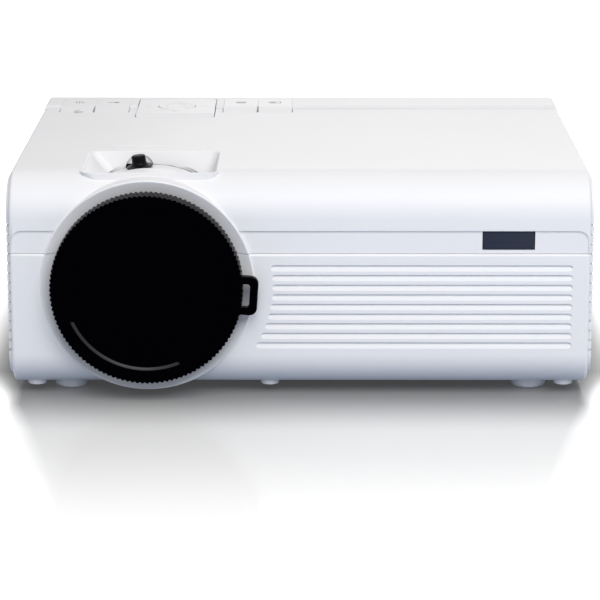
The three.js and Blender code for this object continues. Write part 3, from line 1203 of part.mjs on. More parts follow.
// A flat lens with ring-shaped steps on one face
function fresnel(x, side) {
  const rings = Array.from({ length: FRESNEL_RINGS }, (_, k) => {
    const r1 = FRESNEL_R * (k + 1) / FRESNEL_RINGS;
    const r0 = FRESNEL_R * k / FRESNEL_RINGS + CLEAR;
    const wedge = turned([[r0, -OVERRUN], [r1, -OVERRUN], [r1, FRESNEL_DEPTH], [r0, 0]], [0, 0, 0], COARSE);
    return wedge.rotate([0, 0, side * 90]);
  });
  const face = x + side * FRESNEL_T / 2;
  return pane(x, FRESNEL_T).subtract(join(...rings).translate([face, FOLD_Y,
    (GLASS_LOW_Z + GLASS_HIGH_Z) / 2]));
}

function condenser() {
  const bulge = Array.from({ length: DOME_STEPS }, (_, k) => {
    const r = CONDENSER_R * (DOME_STEPS - k) / DOME_STEPS;
    return [r, CONDENSER_EDGE_T + CONDENSER_SAG * (1 - (r / CONDENSER_R) ** 2)];
  });
  const profile = [[0, 0], [CONDENSER_R, 0], ...bulge, [0, CONDENSER_EDGE_T + CONDENSER_SAG]];
  return turned(profile).rotate([0, 0, 90]).translate([CONDENSER_X, FOLD_Y, LENS_Z]);
}

function ledModule() {
  const plate = box(LED_PLATE_X, LED_PLATE_X + LED_PLATE_T, FOLD_Y - LED_PLATE / 2, FOLD_Y + LED_PLATE / 2,
    LENS_Z - LED_PLATE / 2, LENS_Z + LED_PLATE / 2);
  const emitter = box(LED_PLATE_X - EMITTER_T, LED_PLATE_X, FOLD_Y - EMITTER / 2, FOLD_Y + EMITTER / 2,
    LENS_Z - EMITTER / 2, LENS_Z + EMITTER / 2);
  return plate.add(emitter);
}

function heatSink() {
  const base = box(SINK_X, SINK_X + SINK_BASE_T, FOLD_Y - SINK_W / 2, FOLD_Y + SINK_W / 2,
    LENS_Z - SINK_H / 2, LENS_Z + SINK_H / 2);
  const fins = Array.from({ length: SINK_FINS }, (_, k) => {
    const y = FOLD_Y - SINK_W / 2 + (SINK_W - SINK_FIN_T) * k / (SINK_FINS - 1);
    return box(SINK_X, SINK_X + SINK_DEPTH, y, y + SINK_FIN_T, LENS_Z - SINK_H / 2, LENS_Z + SINK_H / 2);
  });
  return join(base, ...fins);
}

// Fans: a square frame with struts and an axle, and a bladed rotor; the axis lies along x
function fanFrame(size) {
  const outer = sweep(roundRect(-size / 2, size / 2, -size / 2, size / 2, FAN_CORNER), 0, FAN_DEPTH, 'z',
    CORNER_STEPS);
  const bore = pillar(size / 2 - FAN_WALL, -OVERRUN, FAN_DEPTH + OVERRUN, 0, 0, ROUND);
  const hub = size * FAN_HUB_SHARE - BLADE_GAP;
  const plate = pillar(hub, 0, FAN_PLATE_T, 0, 0);
  const struts = Array.from({ length: FAN_STRUTS },
    (_, k) => box(0, size / 2 - FAN_WALL / 2, -STRUT_W / 2, STRUT_W / 2, 0, FAN_PLATE_T)
    .rotate([0, 0, FAN_STRUT_ANGLE + TURN * k / FAN_STRUTS]));
  const axle = pillar(AXLE_R, 0, FAN_DEPTH - FAN_PLATE_T - CLEAR * 2, 0, 0, COARSE / 2);
  const reach = size / 2 - FAN_CORNER;
  const screws = [[1, 1], [1, -1], [-1, 1], [-1, -1]].map(([u, v]) => pillar(FAN_SCREW_R, -OVERRUN,
    FAN_DEPTH + OVERRUN, u * reach, v * reach, COARSE / 2));
  return outer.subtract(bore).add(join(plate, axle, ...struts)).subtract(join(...screws));
}

function fanRotor(size) {
  const hubR = size * FAN_HUB_SHARE;
  const low = FAN_PLATE_T + CLEAR;
  const high = FAN_DEPTH - CLEAR;
  const tip = size / 2 - FAN_WALL - BLADE_GAP;
  const cup = turned([[AXLE_R + CLEAR, low], [hubR, low], [hubR, high], [0, high],
    [0, high - FAN_PLATE_T / 2], [AXLE_R + CLEAR, high - FAN_PLATE_T / 2]], [0, 0, 0],
      COARSE).rotate([90, 0, 0]);
  const blades = Array.from({ length: FAN_BLADES }, (_, k) => {
    const blade = box(hubR - BLADE_T, tip + BLADE_T, -BLADE_T / 2, BLADE_T / 2, -FAN_DEPTH, FAN_DEPTH)
      .rotate([BLADE_ANGLE, 0, 0]).translate([0, 0, (low + high) / 2]);
    return blade.rotate([0, 0, TURN * k / FAN_BLADES]);
  });
  const space = pillar(tip, low + BLADE_GAP / 2, high - BLADE_GAP / 2, 0, 0, ROUND);
  return cup.add(join(...blades).intersect(space));
}

// Electronics
function mainBoard() {
  const plate = box(MAIN_LEFT, MAIN_RIGHT, MAIN_Y - BOARD_T / 2, MAIN_Y + BOARD_T / 2, FLOOR_Z, MAIN_HIGH_Z);
  const front = MAIN_Y - BOARD_T / 2 - CHIP_T;
  const step = (MAIN_RIGHT - MAIN_LEFT) / (CHIP_COUNT + 1);
  const chips = Array.from({ length: CHIP_COUNT }, (_, k) => {
    const x = MAIN_LEFT + step * (k + 1);
    return box(x - CHIP / 2, x + CHIP / 2, front, MAIN_Y,
      (FLOOR_Z + MAIN_HIGH_Z - CHIP) / 2, (FLOOR_Z + MAIN_HIGH_Z + CHIP) / 2);
  });
  return join(plate, ...chips);
}

const SOCKET_FRONT_Y = MAIN_Y + BOARD_T / 2 + CLEAR;
const SOCKET_REAR_Y = BODY_D - SOCKET_SINK;

// A metal shell socket with its contact tongue, open to the rear
function shellSocket(x, z, w, h) {
  const shell = box(x - w / 2, x + w / 2, SOCKET_FRONT_Y, SOCKET_REAR_Y, z - h / 2, z + h / 2);
  const room = box(x - w / 2 + SOCKET_WALL, x + w / 2 - SOCKET_WALL, SOCKET_FRONT_Y + SOCKET_WALL * 2,
    FAR_BACK,
    z - h / 2 + SOCKET_WALL, z + h / 2 - SOCKET_WALL);
  const tongue = box(x - w / 2 + SOCKET_WALL * 3, x + w / 2 - SOCKET_WALL * 3, SOCKET_FRONT_Y,
    SOCKET_REAR_Y - SOCKET_TONGUE * 2,
    z - SOCKET_TONGUE / 2, z + SOCKET_TONGUE / 2);
  return shell.subtract(room).add(tongue);
}

function jack(x) {
  const body = box(x - JACK_BODY_HALF, x + JACK_BODY_HALF, SOCKET_FRONT_Y, IO_BACK_Y - CLEAR,
    SOCKET_Z - JACK_BODY_HALF, SOCKET_Z + JACK_BODY_HALF);
  const nose = rod(JACK_R, SOCKET_FRONT_Y, SOCKET_REAR_Y, x, SOCKET_Z);
  return body.add(nose).subtract(rod(JACK_BORE_R, SOCKET_FRONT_Y + SOCKET_WALL * 2, FAR_BACK, x, SOCKET_Z));
}

function cardSlot() {
  const body = box(CARD_X - CARD_W / 2, CARD_X + CARD_W / 2, SOCKET_FRONT_Y, SOCKET_REAR_Y,
    CARD_Z - CARD_H / 2, CARD_Z + CARD_H / 2);
  const room = box(CARD_X - CARD_W / 2 + SOCKET_WALL, CARD_X + CARD_W / 2 - SOCKET_WALL,
    SOCKET_FRONT_Y + SOCKET_WALL * 2,
    FAR_BACK, CARD_Z - CARD_H / 2 + SOCKET_WALL, CARD_Z + CARD_H / 2 - SOCKET_WALL);
  return body.subtract(room);
}

function inletShape(grow) {
  return roundRect(INLET_X - INLET_W / 2 - grow, INLET_X + INLET_W / 2 + grow,
    SOCKET_Z - INLET_H / 2 - grow, SOCKET_Z + INLET_H / 2 + grow, INLET_H / 2 + grow);
}

// Socket panel: its face fills the opening in the rear wall, its flange lies behind the wall
function socketPanel() {
  const slot = (x, z, w, h) => box(x - w / 2 - CLEAR, x + w / 2 + CLEAR, 0, FAR_BACK,
    z - h / 2 - CLEAR, z + h / 2 + CLEAR);
  const face = box(IO_LEFT, IO_RIGHT, IO_BACK_Y, BODY_D, IO_LOW, IO_HIGH);
  const flange = box(IO_LEFT - IO_FLANGE, IO_RIGHT + IO_FLANGE, IO_BACK_Y, IO_BACK_Y + IO_FLANGE_T,
    IO_LOW - IO_FLANGE, IO_HIGH + IO_FLANGE);
  const jacks = [AV_X, PHONES_X].map((x) => rod(JACK_R + CLEAR, 0, FAR_BACK, x, SOCKET_Z));
  return face.add(flange).subtract(join(
    slot(HDMI_X, SOCKET_Z, HDMI_W, HDMI_H),
    slot(USB_X, SOCKET_Z, USB_W, USB_H),
    slot(CARD_X, CARD_Z, CARD_W, CARD_H),
    ...jacks,
  ));
}

// Mains inlet: a rounded recess with two pins
function powerInlet() {
  const rear = BODY_D - WALL - CLEAR;
  const body = sweep(inletShape(0), BODY_D - INLET_D, SOCKET_REAR_Y, 'y', CORNER_STEPS).add(
    sweep(inletShape(INLET_RIM), BODY_D - INLET_D, rear, 'y', CORNER_STEPS));
  const room = sweep(inletShape(-INLET_RIM), BODY_D - INLET_DEPTH, FAR_BACK, 'y', CORNER_STEPS);
  const pins = [1, -1].map((side) => rod(INLET_PIN_R, BODY_D - INLET_DEPTH - INLET_RIM,
    BODY_D - INLET_DEPTH + INLET_PIN_L,
    INLET_X + side * INLET_PIN_GAP / 2, SOCKET_Z, COARSE / 2));
  return body.subtract(room).add(join(...pins));
}

function speaker() {
  const rear = BODY_D - WALL - CLEAR;
  const profile = [[0, rear - SPEAKER_DEPTH], [SPEAKER_R / 2, rear - SPEAKER_DEPTH],
    [SPEAKER_R / 2, rear - SPEAKER_DEPTH / 2], [SPEAKER_R + SPEAKER_RIM, rear - SPEAKER_RIM],
    [SPEAKER_R + SPEAKER_RIM, rear], [SPEAKER_R, rear], [SPEAKER_R / 2, rear - SPEAKER_DEPTH / 4],
    [0, rear - SPEAKER_DEPTH / 4]];
  return turned(profile, [SPEAKER_X, 0, SPEAKER_Z]);
}

function powerBoard() {
  const top = FLOOR_Z + BOARD_T;
  const plate = box(POWER_LEFT, POWER_RIGHT, POWER_FRONT_Y, POWER_REAR_Y, FLOOR_Z, top);
  const midY = (POWER_FRONT_Y + POWER_REAR_Y) / 2;
  const midX = (POWER_LEFT + POWER_RIGHT) / 2;
  const coil = box(midX - COIL_SIZE / 2, midX + COIL_SIZE / 2, midY - COIL_SIZE / 2, midY + COIL_SIZE / 2,
    FLOOR_Z, top + COIL_H);
  const can = pillar(CAN_R, FLOOR_Z, top + CAN_H, midX + COIL_SIZE + CAN_R, midY);
  const sink = box(midX - COIL_SIZE - CAN_R, midX - COIL_SIZE, POWER_FRONT_Y + STAND_R,
    POWER_REAR_Y - STAND_R,
    FLOOR_Z, top + COIL_H);
  return join(plate, coil, can, sink);
}

// Assembly
const projector = new THREE.Group();
const casing = new THREE.Group();
const controls = new THREE.Group();
const lensGroup = new THREE.Group();
const lightPath = new THREE.Group();
const cooling = new THREE.Group();
const electronics = new THREE.Group();
const base = new THREE.Group();

casing.add(
  node('top_cover', topCover(), WHITE_PLASTIC),
  node('bottom_case', bottomCase(), WHITE_PLASTIC),
  node('side_panel_left', sidePanel(-1, INTAKE_SIZE, INTAKE_Y), WHITE_PLASTIC),
  node('side_panel_right', sidePanel(1, EXHAUST_SIZE, FOLD_Y), WHITE_PLASTIC),
  node('ir_window', irWindow(), SMOKED),
);

controls.add(
  node('power_key', key(0), WHITE_PLASTIC),
  node('back_key', key(1), WHITE_PLASTIC),
  node('menu_key', key(2), WHITE_PLASTIC),
  node('source_key', key(3), WHITE_PLASTIC),
  node('nav_pad', navPad(), WHITE_PLASTIC),
  node('nav_gimbal', navGimbal(), SOFT_WHITE),
  node('ok_button', okButton(), WHITE_PLASTIC),
  node('power_led_lens', ledLens(), SOFT_WHITE),
  node('key_board', keyBoard(), BOARD),
);

const lensR = BARREL_R - BARREL_WALL - CLEAR;
lensGroup.add(
  node('lens_cap', lensCap(), BLACK_PLASTIC),
  node('lens_tube', lensTube(), DARK_PLASTIC),
  node('focus_ring', focusRing(), WHITE_PLASTIC),
  node('focus_knob', focusKnob(), BLACK_PLASTIC),
  node('lens_barrel', lensBarrel(), DARK_PLASTIC),
  node('lens_retainer', retainer(), DARK_PLASTIC),
  node('front_lens', glass(FRONT_GLASS_Y, lensR, GLASS_EDGE_T, FRONT_GLASS_SAG, 0), COATED_GLASS),
  node('middle_lens', glass(MIDDLE_GLASS_Y, lensR, GLASS_EDGE_T, MIDDLE_GLASS_SAG, 0), COATED_GLASS),
  node('rear_lens', glass(REAR_GLASS_Y, lensR, GLASS_EDGE_T, REAR_GLASS_SAG, 0), COATED_GLASS),
);

lightPath.add(
  node('optical_chassis', chassis(), DARK_PLASTIC),
  node('chassis_lid', chassisLid(), DARK_PLASTIC),
  node('fold_mirror', mirror(), MIRROR_GLASS),
  node('lcd_panel', lcdPanel(), PANEL_GLASS),
  node('front_fresnel', fresnel(FRONT_FRESNEL_X, -1), CLEAR_GLASS),
  node('rear_fresnel', fresnel(REAR_FRESNEL_X, 1), CLEAR_GLASS),
  node('heat_glass', pane(HEAT_GLASS_X, HEAT_GLASS_T), CLEAR_GLASS),
  node('condenser_lens', condenser(), CLEAR_GLASS),
  node('led_module', ledModule(), EMITTER_PLATE),
  node('heat_sink', heatSink(), ALUMINIUM),
);

function addFan(name, size, x, y) {
  const fan = new THREE.Group();
  fan.add(node(`${name}_frame`, fanFrame(size), DARK_PLASTIC),
    node(`${name}_rotor`, fanRotor(size), BLACK_PLASTIC));
  fan.rotation.y = Math.PI / 2;
  fan.position.set(x, y, LENS_Z);
  cooling.add(fan);
}
addFan('exhaust_fan', EXHAUST_SIZE, FAN_X, FOLD_Y);
addFan('intake_fan', INTAKE_SIZE, CLEAR - INNER_HALF_W, INTAKE_Y);

electronics.add(
  node('main_board', mainBoard(), BOARD),
  node('io_panel', socketPanel(), WHITE_PLASTIC),
  node('hdmi_socket', shellSocket(HDMI_X, SOCKET_Z, HDMI_W, HDMI_H), STEEL),
  node('usb_socket', shellSocket(USB_X, SOCKET_Z, USB_W, USB_H), STEEL),
  node('card_slot', cardSlot(), STEEL),
  node('av_jack', jack(AV_X), BLACK_PLASTIC),
  node('headphone_jack', jack(PHONES_X), BLACK_PLASTIC),
  node('power_inlet', powerInlet(), BLACK_PLASTIC),
  node('power_board', powerBoard(), BOARD),
  node('ir_receiver', irReceiver(), DARK_PLASTIC),
  node('speaker', speaker(), DARK_PLASTIC),
);

const footPlaces = { left: -FOOT_X, right: FOOT_X };
for (const [side, x] of Object.entries(footPlaces)) {
  base.add(node(`foot_front_${side}`, foot(), RUBBER, [x, FOOT_END_INSET, 0]));
  base.add(node(`foot_rear_${side}`, foot(), RUBBER, [x, BODY_D - FOOT_END_INSET, 0]));
}
SCREW_PLACES.forEach(([x, y], i) => base.add(node(`case_screw_${i + 1}`, caseScrew(), STEEL, [x, y, 0])));
base.add(node('tripod_insert', tripodInsert(), BRASS));

projector.add(casing, controls, lensGroup, lightPath, cooling, electronics, base);
projector.position.set(0, -(BODY_D + CAP_FRONT_Y) / 2, FOOT_H);

const part = new THREE.Group();
part.add(projector);
export default part;
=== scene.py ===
"""Looks of a compact LCD projector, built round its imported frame."""
import json
import math

import bmesh
import bpy
from mathutils import Matrix, Vector


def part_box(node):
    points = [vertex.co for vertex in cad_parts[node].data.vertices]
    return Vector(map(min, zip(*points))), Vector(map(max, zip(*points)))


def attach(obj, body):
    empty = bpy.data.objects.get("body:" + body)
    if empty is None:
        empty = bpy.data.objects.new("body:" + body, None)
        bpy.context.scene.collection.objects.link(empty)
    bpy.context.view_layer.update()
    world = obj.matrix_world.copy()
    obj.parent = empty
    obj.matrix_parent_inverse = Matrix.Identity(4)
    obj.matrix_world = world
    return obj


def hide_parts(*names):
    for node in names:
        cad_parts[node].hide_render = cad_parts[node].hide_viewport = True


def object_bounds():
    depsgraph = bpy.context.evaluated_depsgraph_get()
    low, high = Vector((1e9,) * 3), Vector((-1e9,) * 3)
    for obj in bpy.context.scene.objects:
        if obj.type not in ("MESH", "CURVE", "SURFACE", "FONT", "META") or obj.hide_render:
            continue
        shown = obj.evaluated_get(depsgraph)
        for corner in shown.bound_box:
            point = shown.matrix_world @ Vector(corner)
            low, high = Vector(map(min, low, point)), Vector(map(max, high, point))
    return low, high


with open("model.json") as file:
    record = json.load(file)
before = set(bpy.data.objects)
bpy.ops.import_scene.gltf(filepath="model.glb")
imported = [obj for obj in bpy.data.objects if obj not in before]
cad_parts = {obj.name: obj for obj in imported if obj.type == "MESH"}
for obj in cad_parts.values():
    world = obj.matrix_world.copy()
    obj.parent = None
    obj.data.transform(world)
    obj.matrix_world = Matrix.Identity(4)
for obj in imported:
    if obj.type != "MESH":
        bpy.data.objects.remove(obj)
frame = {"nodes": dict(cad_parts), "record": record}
cad_low, cad_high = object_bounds()

MM = 0.001

# Steps round a circle, how far a cutter runs past what it cuts, and the usual gap between pieces
FINE = 160
ROUND = 64
SMALL = 24
FAR = 20.0
CLEAR = 0.3

# Housing sizes in millimetres: x from the middle, y from the front face, z from the underside
BODY_W = 198.6
BODY_D = 151.0
BODY_H = 74.5
HALF_W = BODY_W / 2
WALL = 2.2
TOP_FILLET = 15.0
BOTTOM_FILLET = 12.0
REAR_FILLET = 2.0
INNER_REAR_FILLET = 0.9
FILLET_STEPS = 20
CORNER_ROUND = 1.26
SHELL_EDGE = 0.22
SEAM_Z = 47.6
SEAM_GAP = 0.08
SEAM_ROUND = 0.9
BAND_TOP_Z = 55.6
BAND_RECESS = 0.6
BAND_INSET = 0.9
BAND_END_R = 3.5
STRIP_Y = 129.6
STRIP_TOP_Y = 131.4
STRIP_RISE = 0.9
STRIP_H = BODY_H + STRIP_RISE

# Lens axis, and the dished ring round the lens with the tube behind it
LENS_X = -52.3
LENS_Z = 36.5
BEZEL_R = 36.8
BEZEL_EDGE = 0.5
BEZEL_PROUD = 0.6
BEZEL_BEAD = 0.7
DISH_SLOPE = 0.37
BEZEL_WALL = 1.6
ARCH_R = 36.2
ARCH_WALL = 1.7
ARCH_EDGE = 0.4
ARCH_REAR_Y = 24.0
TUBE_R = 30.6

# Focus window, its knob and the ring under it
POCKET_LEFT = -75.6
POCKET_RIGHT = -27.6
POCKET_FRONT_Y = 6.6
POCKET_REAR_Y = 45.0
POCKET_RIM = 1.3
POCKET_RADIUS = 3.0
POCKET_DEPTH = 8.0
POCKET_DRAFTS = (6.5, -2.2, 0.8, -2.4)
POCKET_WALL = 1.5
POCKET_ROUND = 0.6
POCKET_LIP_DROP = 0.03
POCKET_UNDER = 4.0
POCKET_OVER = 5.0
NOTCH_R = 5.2
KNOB_ANGLE = -7.0
KNOB_Y = 35.0
KNOB_SKIRT_R = 4.7
KNOB_SKIRT_H = 0.5
KNOB_SKIRT_EDGE = 0.2
KNOB_FLARE_H = 1.5
KNOB_STEM_R = 2.5
KNOB_ROUND = 0.6
KNOB_TOP_R = 38.8
RING_R = 34.2
RING_EDGE = 0.4
RING_FRONT_Y = 24.6
RING_REAR_Y = 40.2
CHASSIS_FRONT_Y = 43.4

# Keys, pad and power lamp
KEY_FRONT_Y = 121.3
KEY_RAMP_Y = 128.5
KEY_REAR_Y = 145.0
KEY_SPANS = {
    "power_key": (-92.6, -79.9), "back_key": (-79.5, -66.3),
    "menu_key": (-29.8, -16.8), "source_key": (-16.4, -3.4),
}
KEY_LOW = BODY_H - WALL - CLEAR - 1.0
KEY_PULL = 0.15
KEY_PUSH = 0.17
KEY_STEP = 0.2
KEY_FLANGE = 1.1
KEY_FLANGE_T = 1.0
KEY_OVERRUN = 1.0
KEY_TALL = 5.0
KEY_EDGE = 0.06
OPENING_UNDER = 2.0
THROUGH = 100.0
GAP_REAR_Y = 129.4
HAIRLINE = 0.05
PAD_LEFT = -62.9
PAD_RIGHT = -33.1
PAD_X = (PAD_LEFT + PAD_RIGHT) / 2
PAD_FRONT_Y = 111.0
PAD_RAMP = 3.2
PAD_RADIUS = 1.2
PAD_LOW = 72.4
PAD_LEG = (1.6, 71.0, 12.0)
PAD_EDGE = 0.22
PAD_MARK = (10.9, 1.5, 1.4)
OK_Y = 129.5
OK_R = 7.1
OK_GAP = 0.25
OK_RISE = 0.25
OK_T = 1.8
OK_STEM = (1.8, 70.8)
OK_ROUND = 0.35
OK_RIM = (1.1, 1.5, 0.15)
OK_MARK = (3.6, 4.3)
OK_MARK_RISE = 0.22
OK_MARK_EDGE = 0.05
LED_X = -85.5
LED_R = 1.4
LED_GAP = 0.35
LED_FLANGE_R = 2.0
LED_FLANGE_GAP = 0.4
LED_FLANGE_Z = 71.1
LED_DOME = 0.9

# Front details
GROOVE_COUNT = 9
GROOVE_PITCH = 3.41
GROOVE_TOP_Z = 43.6
GROOVE_H = 2.1
GROOVE_DEPTH = 0.85
GROOVE_RIGHT = 93.2
GROOVE_GAP = 6.1
GROOVE_CUT = 3.0
IR = (62.4, 79.9, 49.2, 55.3)
IR_GAP = 0.25
IR_ROUND = 0.5
IR_SINK = 0.15
IR_FLANGE = 1.1
IR_FLANGE_T = 1.0
IR_EDGE = 0.15

# Side plates and the fan openings behind them, as (y, size) by side
PANEL_PROUD = 1.2
PANEL_BACK = 0.8
PANEL_INSET = 3.0
LOUVRE_COUNT = 14
LOUVRE_PITCH = 3.4
LOUVRE_TOP_Z = 57.1
LOUVRE_SLOT = 0.9
LOUVRE_REAR_Y = 136.0
LOUVRE_OVERLAP = 0.01
LOUVRE_EDGE = 0.16
FANS = {1: (84.0, 60.0), -1: (114.5, 50.0)}
FAN_RIM = 1.6

# Rear details, all inferred: sockets as (x, z, width, height, corner, wall)
SOCKET_Z = 21.0
SOCKET_FRONT_Y = 137.6
SOCKET_REAR_Y = 150.4
SOCKET_BACK = 1.2
SOCKET_EDGE = 0.12
HDMI = (12.0, SOCKET_Z, 15.0, 5.6, 1.6, 0.45)
HDMI_GAP = 0.25
HDMI_TONGUE = (12.0, SOCKET_Z, 11.0, 0.9)
USB = (35.0, SOCKET_Z, 13.2, 5.8, 0.3, 0.5)
USB_GAP = 0.25
USB_TONGUE = (35.0, SOCKET_Z + 0.9, 11.2, 1.8)
CARD = (-2.0, 36.0, 13.0, 2.4, 0.2, 0.4)
CARD_GAP = 0.3
CARD_CORNER = 0.6
TONGUE_FRONT = 1.3
TONGUE_SHORT = 2.0
TONGUE_EDGE = 0.15
JACKS = {"av_jack": 51.0, "headphone_jack": 60.0}
JACK_HALF = 3.6
JACK_R = 3.0
JACK_EDGE = 0.4
JACK_LIP_R = 2.0
JACK_LIP = 0.2
JACK_BORE_R = 1.8
JACK_HOLE_R = 3.25
INLET_X = 77.0
INLET_HALF_W = 10.0
INLET_HALF_H = 6.0
INLET_WALL = 1.4
INLET_D = 14.0
INLET_MOUTH = 10.0
INLET_GAP = 0.2
INLET_EDGE = 0.25
INLET_PIN = (1.2, 11.4, 3.0, 4.0)
PIN_EDGE = 0.4
IO = (-11.0, 64.1, 14.4, 40.2)
IO_GAP = 0.2
IO_CORNER = 1.0
IO_FLANGE = 0.9
IO_FLANGE_T = 1.4
IO_EDGE = 0.2
IO_BACK_Y = 147.1
SPEAKER_X = -71.3
SPEAKER_Z = 24.0
SPEAKER_R = 14.0
SPEAKER_SLOTS = 3
SPEAKER_PITCH = 3.2
SPEAKER_SLOT = 0.8

# Underside details, all inferred
SCREWS = ((-91.7, 10.7), (-10.5, 10.7), (91.7, 10.7), (-91.7, 145.8), (-33.75, 145.8), (91.7, 145.8))
BOSS_R = 3.2
BOSS_H = 13.0
BOSS_RIM = 0.9
POST_R = 2.6
POST_ROOT = 0.5
POST_REAR_DROP = 9.5
RIB_HALF_T = 1.0
RIB_RISE = 3.0
RIB_DROP = 9.6
PILOT_R = 1.4
PILOT_TOP = 21.0
HEAD_R = 2.4
HEAD_GAP = 0.3
HEAD_ROUND = 0.5
HEAD_SINK = 3.0
HEAD_H = 1.7
SCREW_R = 1.1
SCREW_L = 15.5
SCREW_TIP = 0.5
CROSS = (1.4, 0.3)
INSERT = (-20.0, 75.5)
INSERT_R = 4.4
INSERT_EDGE = 0.3
INSERT_H = 4.0
INSERT_WALL = 2.3
INSERT_GAP = 0.1
THREAD_R = 3.4
THREAD_DEPTH = 0.3
THREAD_TURNS = 4
THREAD_TOP = 0.4
THREAD_PITCH = 0.9
BOARD_PAD_R = 4.0
BOARD_PAD_H = 4.9
BOARD_PADS = ((-44.3, 51.2), (36, 51.2), (36, 116.8), (2, 128.6), (59.6, 128.6),
              (2, 15.5), (76, 15.5), (2, 32), (76, 32))
FOOT_R = 6.15
FOOT_H = 3.5
FOOT_ROUND = 1.3
FEET = {
    "foot_front_left": (-80.0, 17.5), "foot_front_right": (80.0, 17.5),
    "foot_rear_left": (-80.0, 133.5), "foot_rear_right": (80.0, 133.5),
}

# Lens cap and its strap lug, which is (inner end, outer end, half height, end radius)
CAP_R = 32.9
CAP_FRONT_Y = -7.0
CAP_DEPTH = 7.6
CAP_FACE_T = 1.6
CAP_DISC_R = 28.0
CAP_DISC_DROP = 0.5
CAP_STEP = 0.8
CAP_TEETH = 120
CAP_TOOTH_STEPS = 6
CAP_TOOTH_DEPTH = 0.45
CAP_TOOTH_FLAT = 1.35
CAP_REAR_EDGE = 0.25
CAP_EDGE_R = 0.3
CAP_EDGE_MID = 0.1
CAP_RIM_EDGE = 0.45
CAP_STEP_EDGE = 0.2
CAP_STEP_DROP = 0.06
CAP_STEP_FOOT = 0.15
LUG = (28.0, 38.0, 6.8, 2.6)
LUG_Y = (-6.0, -3.4)
LUG_SLOT = (32.0, 35.2, 4.1, 0.9)
LUG_ANGLE = 3.6
LUG_EDGE = 0.45
LUG_SINK = 1.5

# How far a face's normal points forward on the front of the cap and lug, whose forward faces get a darker copy
# of the black without reflection as painted shade, and the side the light comes from, where a lighter copy on
# the cap's step is a painted highlight
CAP_FACING = -0.3
LUG_FACING = -0.9
LIGHT_FROM = (-0.37, -0.93)
LIGHT_REACH_SHARE = 0.6

# Heights of the marks, and the angles in degrees that stay crisp, so that each ramp is shaded as a flat
MARK_RISE = 0.16
MARK_ROOT = 0.3
MARK_EDGE = 0.07
PRINT_T = 0.03
SIGN_Y = 137.3
FOCUS_MARK = (-66.5, -35.5, 55.3, 2.6, 0.45)
FOCUS_MARK_ROOT = 0.5
STRIP_CREASE = 24.0
KEY_CREASE = 6.0
PAD_CREASE = 13.0

origin = Vector((0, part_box("bottom_case")[1][1] - BODY_D * MM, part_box("foot_front_left")[1][2]))


# Mesh building, in millimetres until a piece is placed
def new_object(bm, name="shape"):
    mesh = bpy.data.meshes.new(name)
    bmesh.ops.recalc_face_normals(bm, faces=bm.faces)
    bm.to_mesh(mesh)
    bm.free()
    obj = bpy.data.objects.new(name, mesh)
    bpy.context.scene.collection.objects.link(obj)
    return obj


def arc(cu, cv, r, start, end, steps):
    angles = [math.radians(start + (end - start) * k / steps) for k in range(steps + 1)]
    return [(cu + r * math.cos(a), cv + r * math.sin(a)) for a in angles]


def quarter(steps):
    """The angles of a quarter turn, in radians."""
    return [math.pi / 2 * k / steps for k in range(steps + 1)]


def round_rect(u0, u1, v0, v1, radius, steps=6):
    least = 1e-3
    r = min(radius, (u1 - u0) / 2 - least, (v1 - v0) / 2 - least)
    return (arc(u1 - r, v0 + r, r, -90, 0, steps) + arc(u1 - r, v1 - r, r, 0, 90, steps)
            + arc(u0 + r, v1 - r, r, 90, 180, steps) + arc(u0 + r, v0 + r, r, 180, 270, steps))


def grown(rect, by):
    return (rect[0] - by, rect[1] + by, rect[2] - by, rect[3] + by)


def at(axis, u, v, w):
    return {"x": (w, u, v), "y": (u, w, v), "z": (u, v, w)}[axis]


def prism(points, axis, low, high):
    bm = bmesh.new()
    ends = [[bm.verts.new(at(axis, u, v, w)) for u, v in points] for w in (low, high)]
    bm.faces.new(ends[0][::-1])
    bm.faces.new(ends[1])
    count = len(points)
    for i in range(count):
        j = (i + 1) % count
        bm.faces.new((ends[0][i], ends[0][j], ends[1][j], ends[1][i]))
    return new_object(bm)


def block(x0, x1, y0, y1, z0, z1):
    return prism([(x0, y0), (x1, y0), (x1, y1), (x0, y1)], "z", z0, z1)


def lathe(profile, steps, axis="y", centre=(0, 0, 0)):
    """Turns a closed profile of (radius, along) points round an axis."""
    bm = bmesh.new()
    columns = []
    for radius, along in profile:
        if radius < 1e-6:
            columns.append([bm.verts.new(at(axis, 0, 0, along))] * steps)
            continue
        turns = [2 * math.pi * k / steps for k in range(steps)]
        points = [at(axis, radius * math.cos(t), radius * math.sin(t), along) for t in turns]
        columns.append([bm.verts.new(point) for point in points])
    for i, column in enumerate(columns):
        after = columns[(i + 1) % len(columns)]
        for k in range(steps):
            m = (k + 1) % steps
            corners = []
            for vert in (column[k], column[m], after[m], after[k]):
                if vert not in corners:
                    corners.append(vert)
            if len(corners) > 2:
                bm.faces.new(corners)
    obj = new_object(bm)
    obj.data.transform(Matrix.Translation(centre))
    return obj


def loft(rings):
    """A closed skin over rings of points with one count."""
    bm = bmesh.new()
    rows = [[bm.verts.new(p) for p in ring] for ring in rings]
    bm.faces.new(rows[0][::-1])
    bm.faces.new(rows[-1])
    for low, high in zip(rows, rows[1:]):
        for i in range(len(low)):
            j = (i + 1) % len(low)
            bm.faces.new((low[i], low[j], high[j], high[i]))
    return new_object(bm)


def rod(r, y0, y1, x, z, steps=ROUND):
    return lathe([(0, y0), (r, y0), (r, y1), (0, y1)], steps, "y", (x, 0, z))


def lens_rod(r, y0, y1, steps=FINE):
    return rod(r, y0, y1, LENS_X, LENS_Z, steps)


def pillar(r, z0, z1, x, y, steps=SMALL):
    return lathe([(0, z0), (r, z0), (r, z1), (0, z1)], steps, "z", (x, y, 0))


